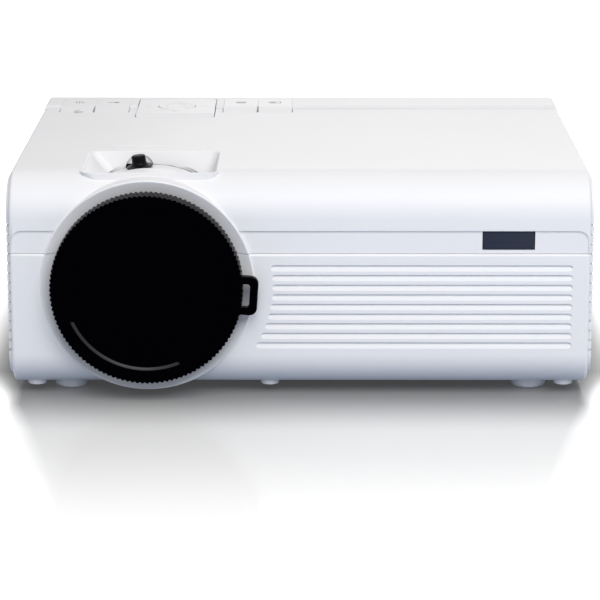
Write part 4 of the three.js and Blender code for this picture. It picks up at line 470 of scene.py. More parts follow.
def bake(obj):
    """Replaces an object's mesh by what its modifiers make of it."""
    bpy.context.view_layer.update()
    graph = bpy.context.evaluated_depsgraph_get()
    mesh = bpy.data.meshes.new_from_object(obj.evaluated_get(graph))
    obj.modifiers.clear()
    obj.data = mesh
    return obj


def boolean(obj, operation, *tools):
    for tool in tools:
        mod = obj.modifiers.new("cut", "BOOLEAN")
        mod.operation = operation
        mod.solver = "EXACT"
        mod.object = tool
    bake(obj)
    for tool in tools:
        bpy.data.objects.remove(tool)
    return obj


def cut(obj, *tools):
    return boolean(obj, "DIFFERENCE", *tools)


def add(obj, *tools):
    return boolean(obj, "UNION", *tools)


def keep(obj, *tools):
    return boolean(obj, "INTERSECT", *tools)


def merged(tools):
    """Joins objects that don't touch into one mesh, so that one boolean takes them all."""
    bm = bmesh.new()
    for tool in tools:
        bm.from_mesh(tool.data)
        bpy.data.objects.remove(tool)
    return new_object(bm)


def tidy(obj, weld=2e-3, flat=0.4):
    """Welds points that nearly meet, and joins faces that are flat to within an angle in degrees."""
    bm = bmesh.new()
    bm.from_mesh(obj.data)
    bmesh.ops.remove_doubles(bm, verts=bm.verts, dist=weld)
    bmesh.ops.dissolve_degenerate(bm, dist=weld, edges=bm.edges)
    bmesh.ops.dissolve_limit(bm, angle_limit=math.radians(flat), verts=bm.verts, edges=bm.edges)
    bm.to_mesh(obj.data)
    bm.free()
    return obj


def soften(obj, width, segments=2, angle=38.0):
    """Rounds the sharp outward edges of a piece by real geometry."""
    bm = bmesh.new()
    bm.from_mesh(obj.data)
    layers = bm.edges.layers.float
    weight = layers.get("bevel_weight_edge") or layers.new("bevel_weight_edge")
    for edge in bm.edges:
        sharp = edge.is_manifold and edge.calc_face_angle_signed(0.0) > math.radians(angle)
        edge[weight] = 1.0 if sharp else 0.0
    bm.to_mesh(obj.data)
    bm.free()
    mod = obj.modifiers.new("edges", "BEVEL")
    mod.width = width
    mod.segments = segments
    mod.limit_method = "WEIGHT"
    mod.use_clamp_overlap = False
    mod.harden_normals = False
    return bake(obj)


def place(obj, name, body, slot, nodes=(), smooth=32.0, material=None):
    """Moves a finished piece from millimetres to the frame and says what it rides on."""
    obj.name = name
    obj.data.name = name
    obj.data.transform(Matrix.Translation(origin) @ Matrix.Scale(MM, 4))
    obj.data.materials.clear()
    obj.data.materials.append(material or BY_SLOT[slot])
    obj.data.polygons.foreach_set("use_smooth", [True] * len(obj.data.polygons))
    obj.data.set_sharp_from_angle(angle=math.radians(smooth))
    even = obj.modifiers.new("even", "WEIGHTED_NORMAL")
    even.keep_sharp = True
    bake(obj)
    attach(obj, body)
    if nodes:
        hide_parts(*nodes)
    return obj


# Housing
def side_outline(inset, rise=0.0):
    y0, y1 = inset, BODY_D - inset
    z0, z1 = inset, BODY_H + rise - inset
    top, bottom = TOP_FILLET - inset, BOTTOM_FILLET - inset
    rear = max(REAR_FILLET - inset, INNER_REAR_FILLET)
    return (arc(y0 + bottom, z0 + bottom, bottom, 180, 270, FILLET_STEPS)
            + arc(y1 - rear, z0 + rear, rear, -90, 0, FILLET_STEPS // 2)
            + arc(y1 - rear, z1 - rear, rear, 0, 90, FILLET_STEPS // 2)
            + arc(y0 + top, z1 - top, top, 90, 180, FILLET_STEPS))


def housing_shell():
    """The outer form with its raised rear strip, rounded at the sides and hollowed to the wall."""
    body, strip = [soften(prism(side_outline(0, rise), "x", -HALF_W, HALF_W), CORNER_ROUND, 4)
                   for rise in (0.0, STRIP_RISE)]
    rear = [(STRIP_Y, -FAR), (BODY_D + FAR, -FAR), (BODY_D + FAR, STRIP_H + FAR), (STRIP_TOP_Y, STRIP_H + FAR),
            (STRIP_TOP_Y, STRIP_H), (STRIP_Y, BODY_H)]
    keep(strip, prism(rear, "x", -BODY_W, BODY_W))
    inner = HALF_W - WALL
    return cut(add(body, strip), prism(side_outline(WALL), "x", -inner, inner))


def panel_recess(side):
    depth = HALF_W - PANEL_BACK - CLEAR
    low, high = (depth, HALF_W + FAR) if side > 0 else (-HALF_W - FAR, -depth)
    return prism(side_outline(PANEL_INSET - CLEAR), "x", low, high)


def bezel():
    """The gently dished ring round the lens, and the tube behind it that shows in the focus window."""
    edge_y = BEZEL_EDGE - BEZEL_PROUD
    floor_r = TUBE_R + CLEAR
    floor_y = (BEZEL_R - BEZEL_EDGE - floor_r) * DISH_SLOPE - BEZEL_PROUD
    tube_r = ARCH_R - ARCH_WALL
    profile = [
        *arc(BEZEL_R - BEZEL_EDGE, edge_y, BEZEL_EDGE, 0, -90, 6), (floor_r, floor_y),
        (floor_r, floor_y + BEZEL_WALL), (tube_r, floor_y + BEZEL_WALL), (tube_r, ARCH_REAR_Y),
        (ARCH_R - ARCH_EDGE, ARCH_REAR_Y), (ARCH_R, ARCH_REAR_Y - ARCH_EDGE),
        (ARCH_R, TOP_FILLET), (BEZEL_R, TOP_FILLET),
    ]
    return lathe(profile, FINE, "y", (LENS_X, 0, LENS_Z))


def bezel_hole():
    return lens_rod(BEZEL_R - BEZEL_BEAD, -FAR, ARCH_REAR_Y)


def front_band():
    side = HALF_W - BAND_INSET
    shape = round_rect(-side, side, 2 * SEAM_Z - BAND_TOP_Z, BAND_TOP_Z, BAND_END_R)
    return prism(shape, "y", -FAR, BAND_RECESS)


POCKET_MOUTH = (POCKET_LEFT + POCKET_RIM, POCKET_RIGHT - POCKET_RIM, POCKET_FRONT_Y + POCKET_RIM, POCKET_REAR_Y)
POCKET_FOOT = tuple(edge + draft for edge, draft in zip(POCKET_MOUTH, POCKET_DRAFTS))
POCKET_LOW = BODY_H - POCKET_DEPTH


def tapered(rects, radius):
    """A closed skin over rounded rectangles, each with its height."""
    return loft([[(x, y, z) for x, y in round_rect(*rect, radius, 8)] for rect, z in rects])


def pocket_block():
    return tapered([(grown(POCKET_FOOT, POCKET_WALL), POCKET_LOW),
                    (grown(POCKET_MOUTH, POCKET_RIM), BODY_H - POCKET_LIP_DROP)], POCKET_RADIUS + POCKET_RIM)


def pocket_hollow():
    """The window's well with its rounded mouth, an arched notch for the knob, and the tube's top left in it."""
    under = POCKET_LOW - POCKET_UNDER
    mouth = [(grown(POCKET_MOUTH, POCKET_ROUND * (1 - math.cos(t))), BODY_H - POCKET_ROUND * (1 - math.sin(t)))
             for t in quarter(6)]
    well = tapered([(POCKET_FOOT, under), (POCKET_FOOT, POCKET_LOW), *mouth,
                    (grown(POCKET_MOUTH, POCKET_ROUND), BODY_H + POCKET_OVER)], POCKET_RADIUS)
    knob_x = LENS_X + KNOB_TOP_R * math.sin(math.radians(KNOB_ANGLE))
    arch_z = BODY_H - POCKET_RIM - NOTCH_R
    arch = [(knob_x - NOTCH_R, under), (knob_x + NOTCH_R, under), *arc(knob_x, arch_z, NOTCH_R, 0, 180, 24)]
    add(well, prism(arch, "y", KNOB_Y, POCKET_REAR_Y))
    return cut(well, lens_rod(ARCH_R, 0, ARCH_REAR_Y))


def key_openings():
    """Clear gaps beside the keys' ramps, and hairlines beside their flat tops."""
    spans = list(KEY_SPANS.values())
    low, high = BODY_H - WALL - OPENING_UNDER, BODY_H + FAR
    front, rear = KEY_FRONT_Y - CLEAR, KEY_REAR_Y + HAIRLINE
    holes = []
    for i in (0, 2):
        x0, x1 = spans[i][0], spans[i + 1][1]
        plan = [(x0 - CLEAR, front), (x1 + CLEAR, front), (x1 + CLEAR, GAP_REAR_Y),
                (x1 + HAIRLINE, GAP_REAR_Y), (x1 + HAIRLINE, rear), (x0 - HAIRLINE, rear),
                (x0 - HAIRLINE, GAP_REAR_Y), (x0 - CLEAR, GAP_REAR_Y)]
        holes.append(prism(plan, "z", low, high))
    plan = round_rect(PAD_LEFT - CLEAR, PAD_RIGHT + CLEAR, PAD_FRONT_Y - CLEAR, KEY_REAR_Y + CLEAR, PAD_RADIUS)
    return [*holes, prism(plan, "z", low, high), pillar(LED_R + CLEAR, low, high, LED_X, KEY_FRONT_Y, ROUND)]


def fan_window(side):
    y, size = FANS[side]
    low, high = (HALF_W - 2 * WALL, HALF_W + FAR) if side > 0 else (-HALF_W - FAR, 2 * WALL - HALF_W)
    r = size / 2 - FAN_RIM
    return lathe([(0, low), (r, low), (r, high), (0, high)], ROUND, "x", (0, y, LENS_Z))


def cover_posts():
    """Posts that take the case screws from below, the rear ones on ribs."""
    rear_screws = [(x, y) for x, y in SCREWS if y > BODY_D / 2]
    tops = [BODY_H - POST_REAR_DROP if spot in rear_screws else BODY_H - WALL + POST_ROOT for spot in SCREWS]
    posts = [pillar(POST_R, BOSS_H + CLEAR, top, *spot) for top, spot in zip(tops, SCREWS)]
    ribs = [block(x - RIB_HALF_T, x + RIB_HALF_T, y + RIB_HALF_T, BODY_D - WALL / 2,
                  SEAM_Z + RIB_RISE, BODY_H - RIB_DROP) for x, y in rear_screws]
    pilots = [pillar(PILOT_R, 0, PILOT_TOP, *spot) for spot in SCREWS]
    return cut(add(merged(posts), merged(ribs)), merged(pilots))


def top_cover():
    shell = add(housing_shell(), pocket_block())
    cut(shell, front_band(), bezel_hole(), lens_rod(ARCH_R - ARCH_WALL, -FAR, CHASSIS_FRONT_Y))
    add(shell, bezel())
    cut(shell, pocket_hollow())
    cut(shell, panel_recess(1), panel_recess(-1), fan_window(1), fan_window(-1))
    keep(shell, block(-BODY_W, BODY_W, -FAR, BODY_D + FAR, SEAM_Z + SEAM_GAP / 2, STRIP_H + FAR))
    x0, x1, z0, z1 = grown(IR, IR_GAP)
    cut(soften(tidy(shell), SHELL_EDGE), block(x0, x1, -FAR, WALL + FAR, z0, z1), *key_openings())
    return add(shell, cover_posts())


def grooves():
    """The grille's grooves, each deepest at its top and rounded at both ends."""
    cuts = []
    for k in range(GROOVE_COUNT):
        top = GROOVE_TOP_Z - k * GROOVE_PITCH
        low = top - GROOVE_H
        left = LENS_X + math.sqrt((BEZEL_R + GROOVE_GAP) ** 2 - (top - GROOVE_H / 2 - LENS_Z) ** 2)
        wedge = prism([(-FAR, low), (0, low), (GROOVE_DEPTH, top), (-FAR, top)], "x", LENS_X, GROOVE_RIGHT)
        ends = prism(round_rect(left, GROOVE_RIGHT, low, top, GROOVE_H / 2), "y", -FAR, GROOVE_CUT)
        cuts.append(keep(wedge, ends))
    return merged(cuts)


def seam_round():
    """What is taken off the lower shell's upper front edge, which shows as a light line under the seam."""
    top = SEAM_Z - SEAM_GAP / 2
    low = top - SEAM_ROUND
    shape = [(-FAR, low), (0, low), *arc(SEAM_ROUND, low, SEAM_ROUND, 180, 90, 8)[1:],
             (SEAM_ROUND, top + 1), (-FAR, top + 1)]
    return cut(prism(shape, "x", -BODY_W, BODY_W), lens_rod(BEZEL_R, -FAR - 1, WALL))


def inlet_shape(grow):
    shape = (INLET_X - INLET_HALF_W, INLET_X + INLET_HALF_W, SOCKET_Z - INLET_HALF_H, SOCKET_Z + INLET_HALF_H)
    return round_rect(*grown(shape, grow), INLET_HALF_H + grow, 10)


def rear_openings():
    outlines = [round_rect(*grown(IO, IO_GAP), IO_CORNER + IO_GAP), inlet_shape(INLET_GAP)]
    for k in range(-SPEAKER_SLOTS, SPEAKER_SLOTS + 1):
        z = SPEAKER_PITCH * k
        reach = math.sqrt(SPEAKER_R ** 2 - z ** 2)
        outlines.append(round_rect(SPEAKER_X - reach, SPEAKER_X + reach, SPEAKER_Z + z - SPEAKER_SLOT,
                                   SPEAKER_Z + z + SPEAKER_SLOT, SPEAKER_SLOT))
    return merged([prism(outline, "y", BODY_D - 2 * WALL, BODY_D + FAR) for outline in outlines])


def case_base(shell):
    """Screw bosses with their rims below the case, pads under the boards, and the tripod boss."""
    bosses = [pillar(BOSS_R, -BOSS_RIM, BOSS_H, *spot, ROUND) for spot in SCREWS]
    pads = [pillar(BOARD_PAD_R, WALL / 2, BOARD_PAD_H, *spot) for spot in BOARD_PADS]
    boss = pillar(INSERT_R + INSERT_WALL, WALL / 2, BOARD_PAD_H, *INSERT, ROUND)
    add(shell, merged([*bosses, *pads, boss]))
    sinks = [pillar(HEAD_R + HEAD_GAP, -FAR, HEAD_SINK + 2, *spot, ROUND) for spot in SCREWS]
    pilots = [pillar(PILOT_R, HEAD_SINK + 1, BOSS_H + 5, *spot) for spot in SCREWS]
    hole = pillar(INSERT_R + INSERT_GAP, -FAR, INSERT_H + CLEAR, *INSERT, ROUND)
    return cut(shell, merged([*sinks, hole]), merged(pilots))


def bottom_case():
    shell = housing_shell()
    cut(shell, bezel_hole(), panel_recess(1), panel_recess(-1))
    add(shell, bezel())
    cut(shell, grooves(), lens_rod(RING_R + CLEAR, ARCH_REAR_Y, CHASSIS_FRONT_Y), fan_window(1), fan_window(-1),
        rear_openings())
    keep(shell, block(-BODY_W, BODY_W, -FAR, BODY_D + FAR, -FAR, SEAM_Z - SEAM_GAP / 2))
    cut(shell, seam_round())
    case_base(shell)
    return soften(tidy(shell), SHELL_EDGE)


def side_panel(side):
    """Proud louvred plate: ribs on a thin backing, open right through over the fan."""
    low, high = HALF_W - PANEL_BACK, HALF_W + PANEL_PROUD
    plate = prism(side_outline(PANEL_INSET), "x", low, high)
    fan_y, size = FANS[side]
    reach = size / 2 - FAN_RIM
    slots, through = [], []
    for k in range(LOUVRE_COUNT):
        z = LOUVRE_TOP_Z - k * LOUVRE_PITCH
        z0, z1 = z - LOUVRE_SLOT / 2, z + LOUVRE_SLOT / 2
        slots.append(block(HALF_W, HALF_W + FAR, 0, LOUVRE_REAR_Y, z0, z1))
        through.append(block(low - 1, HALF_W + LOUVRE_OVERLAP, fan_y - reach, fan_y + reach, z0, z1))
    cut(plate, merged(slots))
    cut(plate, merged(through))
    soften(tidy(plate), LOUVRE_EDGE)
    if side < 0:
        plate.data.transform(Matrix.Diagonal((-1, 1, 1, 1)))
        plate.data.flip_normals()
    return plate


# Lens cap, knob and ring
def lens_cap():
    """A toothed skirt with a flat rim round a dropped disc, and its strap lug."""
    steps = CAP_TEETH * CAP_TOOTH_STEPS
    root = CAP_R - CAP_TOOTH_DEPTH
    rear = CAP_FRONT_Y + CAP_DEPTH
    disc_y = CAP_FRONT_Y + CAP_DISC_DROP

    def tooth(k):
        wave = 0.5 + 0.5 * math.cos(2 * math.pi * k / CAP_TOOTH_STEPS)
        return root + CAP_TOOTH_DEPTH * min(1.0, wave * CAP_TOOTH_FLAT)

    # Each row is its radius, or its step from the teeth's outline, and its y
    rows = [
        (False, TUBE_R + CLEAR, rear), (True, -CAP_REAR_EDGE, rear), (True, 0, rear - CAP_REAR_EDGE),
        (True, 0, CAP_FRONT_Y + CAP_EDGE_R), (True, -CAP_EDGE_MID, CAP_FRONT_Y + CAP_EDGE_MID),
        (True, -CAP_EDGE_R, CAP_FRONT_Y), (False, root - CAP_RIM_EDGE, CAP_FRONT_Y),
        (False, CAP_DISC_R + CAP_STEP_EDGE, CAP_FRONT_Y), (False, CAP_DISC_R, CAP_FRONT_Y + CAP_STEP_DROP),
        (False, CAP_DISC_R - CAP_STEP + CAP_STEP_FOOT, disc_y - CAP_STEP_DROP),
        (False, CAP_DISC_R - CAP_STEP, disc_y),
    ]
    bm = bmesh.new()
    rings = []
    for toothed, radius, y in rows:
        ring = []
        for k in range(steps):
            turn = 2 * math.pi * k / steps
            r = tooth(k) + radius if toothed else radius
            ring.append(bm.verts.new((LENS_X + r * math.cos(turn), y, LENS_Z + r * math.sin(turn))))
        rings.append(ring)
    for a, b in zip(rings, rings[1:]):
        for k in range(steps):
            m = (k + 1) % steps
            bm.faces.new((a[k], a[m], b[m], b[k]))
    bm.faces.new(rings[-1])
    inner = [bm.verts.new((v.co.x, CAP_FRONT_Y + CAP_FACE_T, v.co.z)) for v in rings[0]]
    for k in range(steps):
        m = (k + 1) % steps
        bm.faces.new((rings[0][m], rings[0][k], inner[k], inner[m]))
    bm.faces.new(inner[::-1])
    cap = new_object(bm)
    inward, out, half, end_r = LUG
    lug = soften(prism(round_rect(inward, out, -half, half, end_r), "y", *LUG_Y), LUG_EDGE, 3)
    slot_in, slot_out, slot_half, slot_r = LUG_SLOT
    slot = prism(round_rect(slot_in, slot_out, -slot_half, slot_half, slot_r), "y", -FAR, 0)
    for shape in (lug, slot):
        turn = Matrix.Rotation(math.radians(LUG_ANGLE), 4, "Y")
        shape.data.transform(Matrix.Translation((LENS_X, 0, LENS_Z)) @ turn)
    disc = lens_rod(root - LUG_SINK, CAP_FRONT_Y - FAR, CAP_FRONT_Y + CAP_FACE_T / 2, ROUND)
    cut(lug, slot, disc, lens_rod(TUBE_R + 1, -FAR, FAR, ROUND))
    return cap, lug


def focus_knob():
    base = RING_R + CLEAR
    flare = KNOB_SKIRT_R - KNOB_STEM_R
    skirt = [(KNOB_STEM_R + flare * (1 - math.sin(t)), base + KNOB_SKIRT_H + KNOB_FLARE_H * (1 - math.cos(t)))
             for t in quarter(10)]
    top = KNOB_TOP_R - KNOB_ROUND
    profile = [(0, base), (KNOB_SKIRT_R - KNOB_SKIRT_EDGE, base), (KNOB_SKIRT_R, base + KNOB_SKIRT_EDGE),
               *skirt, (KNOB_STEM_R, top), *arc(KNOB_STEM_R - KNOB_ROUND, top, KNOB_ROUND, 0, 90, 5),
               (0, KNOB_TOP_R)]
    body = lathe(profile, ROUND, "z", (0, KNOB_Y, 0))
    turn = Matrix.Rotation(math.radians(KNOB_ANGLE), 4, "Y")
    body.data.transform(Matrix.Translation((LENS_X, 0, LENS_Z)) @ turn)
    return body


def focus_ring():
    """White ring behind the bezel's tube, which carries the knob."""
    inner, edge_r = TUBE_R + CLEAR, RING_R - RING_EDGE
    profile = [(inner, RING_FRONT_Y), (edge_r, RING_FRONT_Y), (RING_R, RING_FRONT_Y + RING_EDGE),
               (RING_R, RING_REAR_Y - RING_EDGE), (edge_r, RING_REAR_Y), (inner, RING_REAR_Y)]
    return lathe(profile, FINE, "y", (LENS_X, 0, LENS_Z))


# Keys and pad
def ramped_key(plan, front_y, ramp_y, low):
    """What lies in a plan under a ramp from the cover's top to the strip's."""
    front, rear = front_y - KEY_OVERRUN, KEY_REAR_Y + KEY_OVERRUN
    side = [(front, low), (rear, low), (rear, STRIP_H), (ramp_y, STRIP_H), (front_y, BODY_H), (front, BODY_H)]
    return keep(prism(plan, "z", low, STRIP_H + KEY_TALL), prism(side, "x", -BODY_W, BODY_W))


def key(name):
    """A ramped key. Beside its neighbour it is cut back at the ramp, and nearly meets it behind."""
    x0, x1 = KEY_SPANS[name]
    outer_left = name in ("power_key", "menu_key")
    front = (x0, x1 - KEY_PULL) if outer_left else (x0 + KEY_PULL, x1)
    rear = (x0, x1 + KEY_PUSH) if outer_left else (x0 - KEY_PUSH, x1)
    step_y = GAP_REAR_Y + KEY_STEP
    plan = [(front[0], KEY_FRONT_Y), (front[1], KEY_FRONT_Y), (front[1], GAP_REAR_Y), (rear[1], step_y),
            (rear[1], KEY_REAR_Y), (rear[0], KEY_REAR_Y), (rear[0], step_y), (front[0], GAP_REAR_Y)]
    body = ramped_key(plan, KEY_FRONT_Y, KEY_RAMP_Y, KEY_LOW)
    left, right = (x0 - KEY_FLANGE, x1) if outer_left else (x0, x1 + KEY_FLANGE)
    add(body, block(left, right, KEY_FRONT_Y - KEY_FLANGE, KEY_REAR_Y, KEY_LOW, KEY_LOW + KEY_FLANGE_T))
    if name == "power_key":
        cut(body, pillar(LED_R + LED_GAP, 0, THROUGH, LED_X, KEY_FRONT_Y, ROUND),
            pillar(LED_FLANGE_R + LED_FLANGE_GAP, 0, BODY_H - WALL, LED_X, KEY_FRONT_Y, ROUND))
    return soften(tidy(body), KEY_EDGE, 2)


def nav_pad():
    plan = round_rect(PAD_LEFT, PAD_RIGHT, PAD_FRONT_Y, KEY_REAR_Y, PAD_RADIUS, 10)
    plate = ramped_key(plan, PAD_FRONT_Y, PAD_FRONT_Y + PAD_RAMP, PAD_LOW)
    cut(plate, pillar(OK_R + OK_GAP, 0, THROUGH, PAD_X, OK_Y, ROUND))
    leg_r, foot_z, out = PAD_LEG
    legs = [pillar(leg_r, foot_z, PAD_LOW + CLEAR, PAD_X + u * out, OK_Y + v * out)
            for u, v in ((1, 0), (-1, 0), (0, 1), (0, -1))]
    add(plate, merged(legs))
    return soften(tidy(plate), PAD_EDGE, 3)


def ok_button():
    stem_r, foot_z = OK_STEM
    rim_r, dish_r, dish = OK_RIM
    top = STRIP_H + OK_RISE
    low = top - OK_T
    profile = [(0, foot_z), (stem_r, foot_z), (stem_r, low), (OK_R, low), (OK_R, top - OK_ROUND),
               *arc(OK_R - OK_ROUND, top - OK_ROUND, OK_ROUND, 0, 90, 4),
               (OK_R - rim_r, top), (OK_R - dish_r, top - dish), (0, top - dish)]
    return lathe(profile, ROUND, "z", (PAD_X, OK_Y, 0))


# Small fixed pieces
def led_dome():
    dome = [(LED_R * math.cos(t), BODY_H + LED_DOME * math.sin(t)) for t in quarter(10)[1:-1]]
    profile = [(0, KEY_LOW), (LED_FLANGE_R, KEY_LOW), (LED_FLANGE_R, LED_FLANGE_Z), (LED_R, LED_FLANGE_Z),
               (LED_R, BODY_H), *dome, (0, BODY_H + LED_DOME)]
    return lathe(profile, 48, "z", (LED_X, KEY_FRONT_Y, 0))


def ir_window():
    back_y = WALL + CLEAR
    face = prism(round_rect(*IR, IR_ROUND), "y", BAND_RECESS + IR_SINK, back_y + IR_FLANGE_T)
    x0, x1, z0, z1 = grown(IR, IR_FLANGE)
    add(face, block(x0, x1, back_y, back_y + IR_FLANGE_T, z0, z1))
    return soften(tidy(face), IR_EDGE)


def foot(x, y):
    inner = FOOT_R - FOOT_ROUND
    profile = [(0, -FOOT_H), (inner, -FOOT_H), *arc(inner, FOOT_ROUND - FOOT_H, FOOT_ROUND, -90, 0, 8)[1:],
               (FOOT_R, 0), (0, 0)]
    return lathe(profile, ROUND, "z", (x, y, 0))


def case_screw(x, y):
    """A pan head with a cross recess, seen from below in its sink."""
    low, high = HEAD_SINK, HEAD_SINK + HEAD_H
    inner, end = HEAD_R - HEAD_ROUND, low + SCREW_L
    profile = [(0, low), (inner, low), *arc(inner, low + HEAD_ROUND, HEAD_ROUND, -90, 0, 5)[1:], (HEAD_R, high),
               (SCREW_R, high), (SCREW_R, end), (SCREW_TIP, end + SCREW_TIP), (0, end + SCREW_TIP)]
    body = lathe(profile, 40, "z", (x, y, 0))
    cross = [block(x - u, x + u, y - v, y + v, low - 1, low + 1) for u, v in (CROSS, CROSS[::-1])]
    return cut(body, *cross)


def tripod_insert():
    """A brass ring with a coarse thread inside."""
    turns = []
    for k in range(THREAD_TURNS):
        z = INSERT_H - THREAD_TOP - k * THREAD_PITCH
        turns += [(THREAD_R, z), (THREAD_R - THREAD_DEPTH, z - THREAD_PITCH / 2)]
    profile = [(INSERT_R - INSERT_EDGE, 0), (INSERT_R, INSERT_EDGE), (INSERT_R, INSERT_H), (THREAD_R, INSERT_H),
               *turns, (THREAD_R, 0)]
    return lathe(profile, ROUND, "z", (*INSERT, 0))


def shell_outline(x, z, w, h, corner, grow=0.0):
    u, v = w / 2 + grow, h / 2 + grow
    return [(x - u + corner, z - v), (x + u - corner, z - v), (x + u, z - v + corner),
            (x + u, z + v), (x - u, z + v), (x - u, z - v + corner)]


def shell_socket(x, z, w, h, corner, wall):
    """A folded metal shell, open to the rear."""
    shell = prism(shell_outline(x, z, w, h, corner), "y", SOCKET_FRONT_Y, SOCKET_REAR_Y)
    cut(shell, prism(shell_outline(x, z, w, h, corner, -wall), "y", SOCKET_FRONT_Y + SOCKET_BACK, BODY_D + FAR))
    return soften(shell, SOCKET_EDGE, 2, 30)


def socket_tongue(x, z, w, t):
    return soften(block(x - w / 2, x + w / 2, SOCKET_FRONT_Y + TONGUE_FRONT, SOCKET_REAR_Y - TONGUE_SHORT,
                        z - t / 2, z + t / 2), TONGUE_EDGE)


def jack(x):
    body = block(x - JACK_HALF, x + JACK_HALF, SOCKET_FRONT_Y, IO_BACK_Y - CLEAR, SOCKET_Z - JACK_HALF,
                 SOCKET_Z + JACK_HALF)
    lip_y = SOCKET_REAR_Y - JACK_LIP
    nose = lathe([(0, IO_BACK_Y - 1), (JACK_R, IO_BACK_Y - 1), (JACK_R, SOCKET_REAR_Y - JACK_EDGE),
                  (JACK_R - JACK_EDGE, SOCKET_REAR_Y), (JACK_LIP_R, SOCKET_REAR_Y),
                  (JACK_BORE_R, lip_y), (0, lip_y)], ROUND, "y", (x, 0, SOCKET_Z))
    return cut(add(body, nose), rod(JACK_BORE_R, SOCKET_FRONT_Y + SOCKET_BACK, BODY_D + FAR, x, SOCKET_Z, 40))


def io_panel():
    face = prism(round_rect(*IO, IO_CORNER), "y", IO_BACK_Y, BODY_D)
    add(face, prism(round_rect(*grown(IO, IO_FLANGE), IO_CORNER), "y", IO_BACK_Y, IO_BACK_Y + IO_FLANGE_T))
    low, high = IO_BACK_Y - 1, BODY_D + FAR
    holes = [prism(shell_outline(*HDMI[:5], HDMI_GAP), "y", low, high)]
    x, z, w, h = USB[:4]
    u, v = w / 2 + USB_GAP, h / 2 + USB_GAP
    holes.append(block(x - u, x + u, low, high, z - v, z + v))
    x, z, w, h = CARD[:4]
    mouth = grown((x - w / 2, x + w / 2, z - h / 2, z + h / 2), CARD_GAP)
    holes.append(prism(round_rect(*mouth, CARD_CORNER), "y", low, high))
    holes += [rod(JACK_HOLE_R, low, high, jack_x, SOCKET_Z) for jack_x in JACKS.values()]
    return soften(tidy(cut(face, merged(holes))), IO_EDGE)


def power_inlet():
    body = prism(inlet_shape(0), "y", BODY_D - INLET_D, SOCKET_REAR_Y)
    add(body, prism(inlet_shape(INLET_WALL), "y", BODY_D - INLET_D, BODY_D - WALL - CLEAR))
    cut(body, prism(inlet_shape(-INLET_WALL), "y", BODY_D - INLET_MOUTH, BODY_D + FAR))
    return soften(body, INLET_EDGE)


def inlet_pins():
    r, start, end, out = INLET_PIN
    pins = [rod(r, BODY_D - start, BODY_D - end, INLET_X + side * out, SOCKET_Z, 32) for side in (1, -1)]
    return soften(merged(pins), PIN_EDGE)


# Generic marks: raised arrows and rings, and printed signs on the keys
def open_ring(x, y, r0, r1, start, end, z0, z1):
    return prism(arc(x, y, r1, start, end, 24) + arc(x, y, r0, end, start, 24), "z", z0, z1)


def arrow_head(x, y, angle, reach, half, z0, z1):
    turn = math.radians(angle)
    points = [(reach, 0), (-reach * 0.6, half), (-reach * 0.6, -half)]
    return prism([(x + u * math.cos(turn) - v * math.sin(turn), y + u * math.sin(turn) + v * math.cos(turn))
                  for u, v in points], "z", z0, z1)


def pad_marks():
    out, reach, half = PAD_MARK
    low, top = STRIP_H - MARK_ROOT, STRIP_H + MARK_RISE
    heads = [arrow_head(PAD_X + u * out, OK_Y + v * out, angle, reach, half, low, top)
             for u, v, angle in ((1, 0, 0), (0, 1, 90), (-1, 0, 180), (0, -1, -90))]
    return soften(merged(heads), MARK_EDGE, 2)


def ok_mark():
    inner, outer = OK_MARK
    low, top = STRIP_H, STRIP_H + OK_MARK_RISE
    ring = lathe([(inner, low), (outer, low), (outer, top), (inner, top)], 48, "z", (PAD_X, OK_Y, 0))
    return soften(ring, OK_MARK_EDGE, 2)


def focus_marks():
    """A two-way arrow behind the focus window, for the knob's two ways."""
    x0, x1, y, head, half = FOCUS_MARK
    low, top = BODY_H - FOCUS_MARK_ROOT, BODY_H + MARK_RISE
    shapes = [arrow_head(x0 - 1, y, 180, head, head, low, top), arrow_head(x1 + 1, y, 0, head, head, low, top),
              block(x0 + 2, x1 - 2, y - half, y + half, low, top)]
    return soften(merged(shapes), MARK_EDGE, 2)


def key_sign(name):
    """A printed sign, read from behind the projector, with its sizes from the sign's middle."""
    x, y = sum(KEY_SPANS[name]) / 2, SIGN_Y
    z0, z1 = STRIP_H - PRINT_T, STRIP_H + PRINT_T

    def bar(u0, u1, v0, v1):
        return block(x + u0, x + u1, y + v0, y + v1, z0, z1)

    if name == "power_key":
        return merged([open_ring(x, y, 1.25, 1.6, -55, 235, z0, z1), bar(-0.18, 0.18, -2.1, -0.6)])
    if name == "back_key":
        return merged([arrow_head(x + 1.2, y, 0, 1.2, 1.2, z0, z1), bar(-2.2, 0.3, -0.2, 0.2)])
    if name == "menu_key":
        return merged([bar(-1.9, 1.9, v - 0.2, v + 0.2) for v in (-1.1, 0, 1.1)])
    box = [bar(-2.2, 2.2, 1.3, 1.6), bar(-2.2, 2.2, -1.6, -1.3), bar(1.9, 2.2, -1.25, 1.25),
           bar(-2.2, -1.9, -1.25, -0.7), bar(-2.2, -1.9, 0.7, 1.25)]
    return merged([*box, arrow_head(x - 0.6, y, 0, 0.9, 0.8, z0, z1), bar(-3.1, -1.3, -0.16, 0.16)])


# Shader nodes
def feed(tree, made, inputs):
    """Sets a node's inputs, each to a value or from another node's output."""
    for socket, value in inputs.items():
        if isinstance(value, bpy.types.NodeSocket):
            tree.links.new(value, made.inputs[socket])
        else:
            made.inputs[socket].default_value = value


def node(tree, kind, inputs, **settings):
    """Makes a node and gives its outputs."""
    made = tree.nodes.new(f"ShaderNode{kind}")
    for setting, value in settings.items():
        setattr(made, setting, value)
    feed(tree, made, inputs)
    return made.outputs


# Materials: a texture is its scale, bump strength and bump distance, and then any tint and span of roughness
METAL = {"Metallic": 1.0}
GLASSY = {"Transmission Weight": 1.0, "IOR": 1.5}
BROAD_SCALE = 18


def specular(level):
    return {"Specular IOR Level": level}


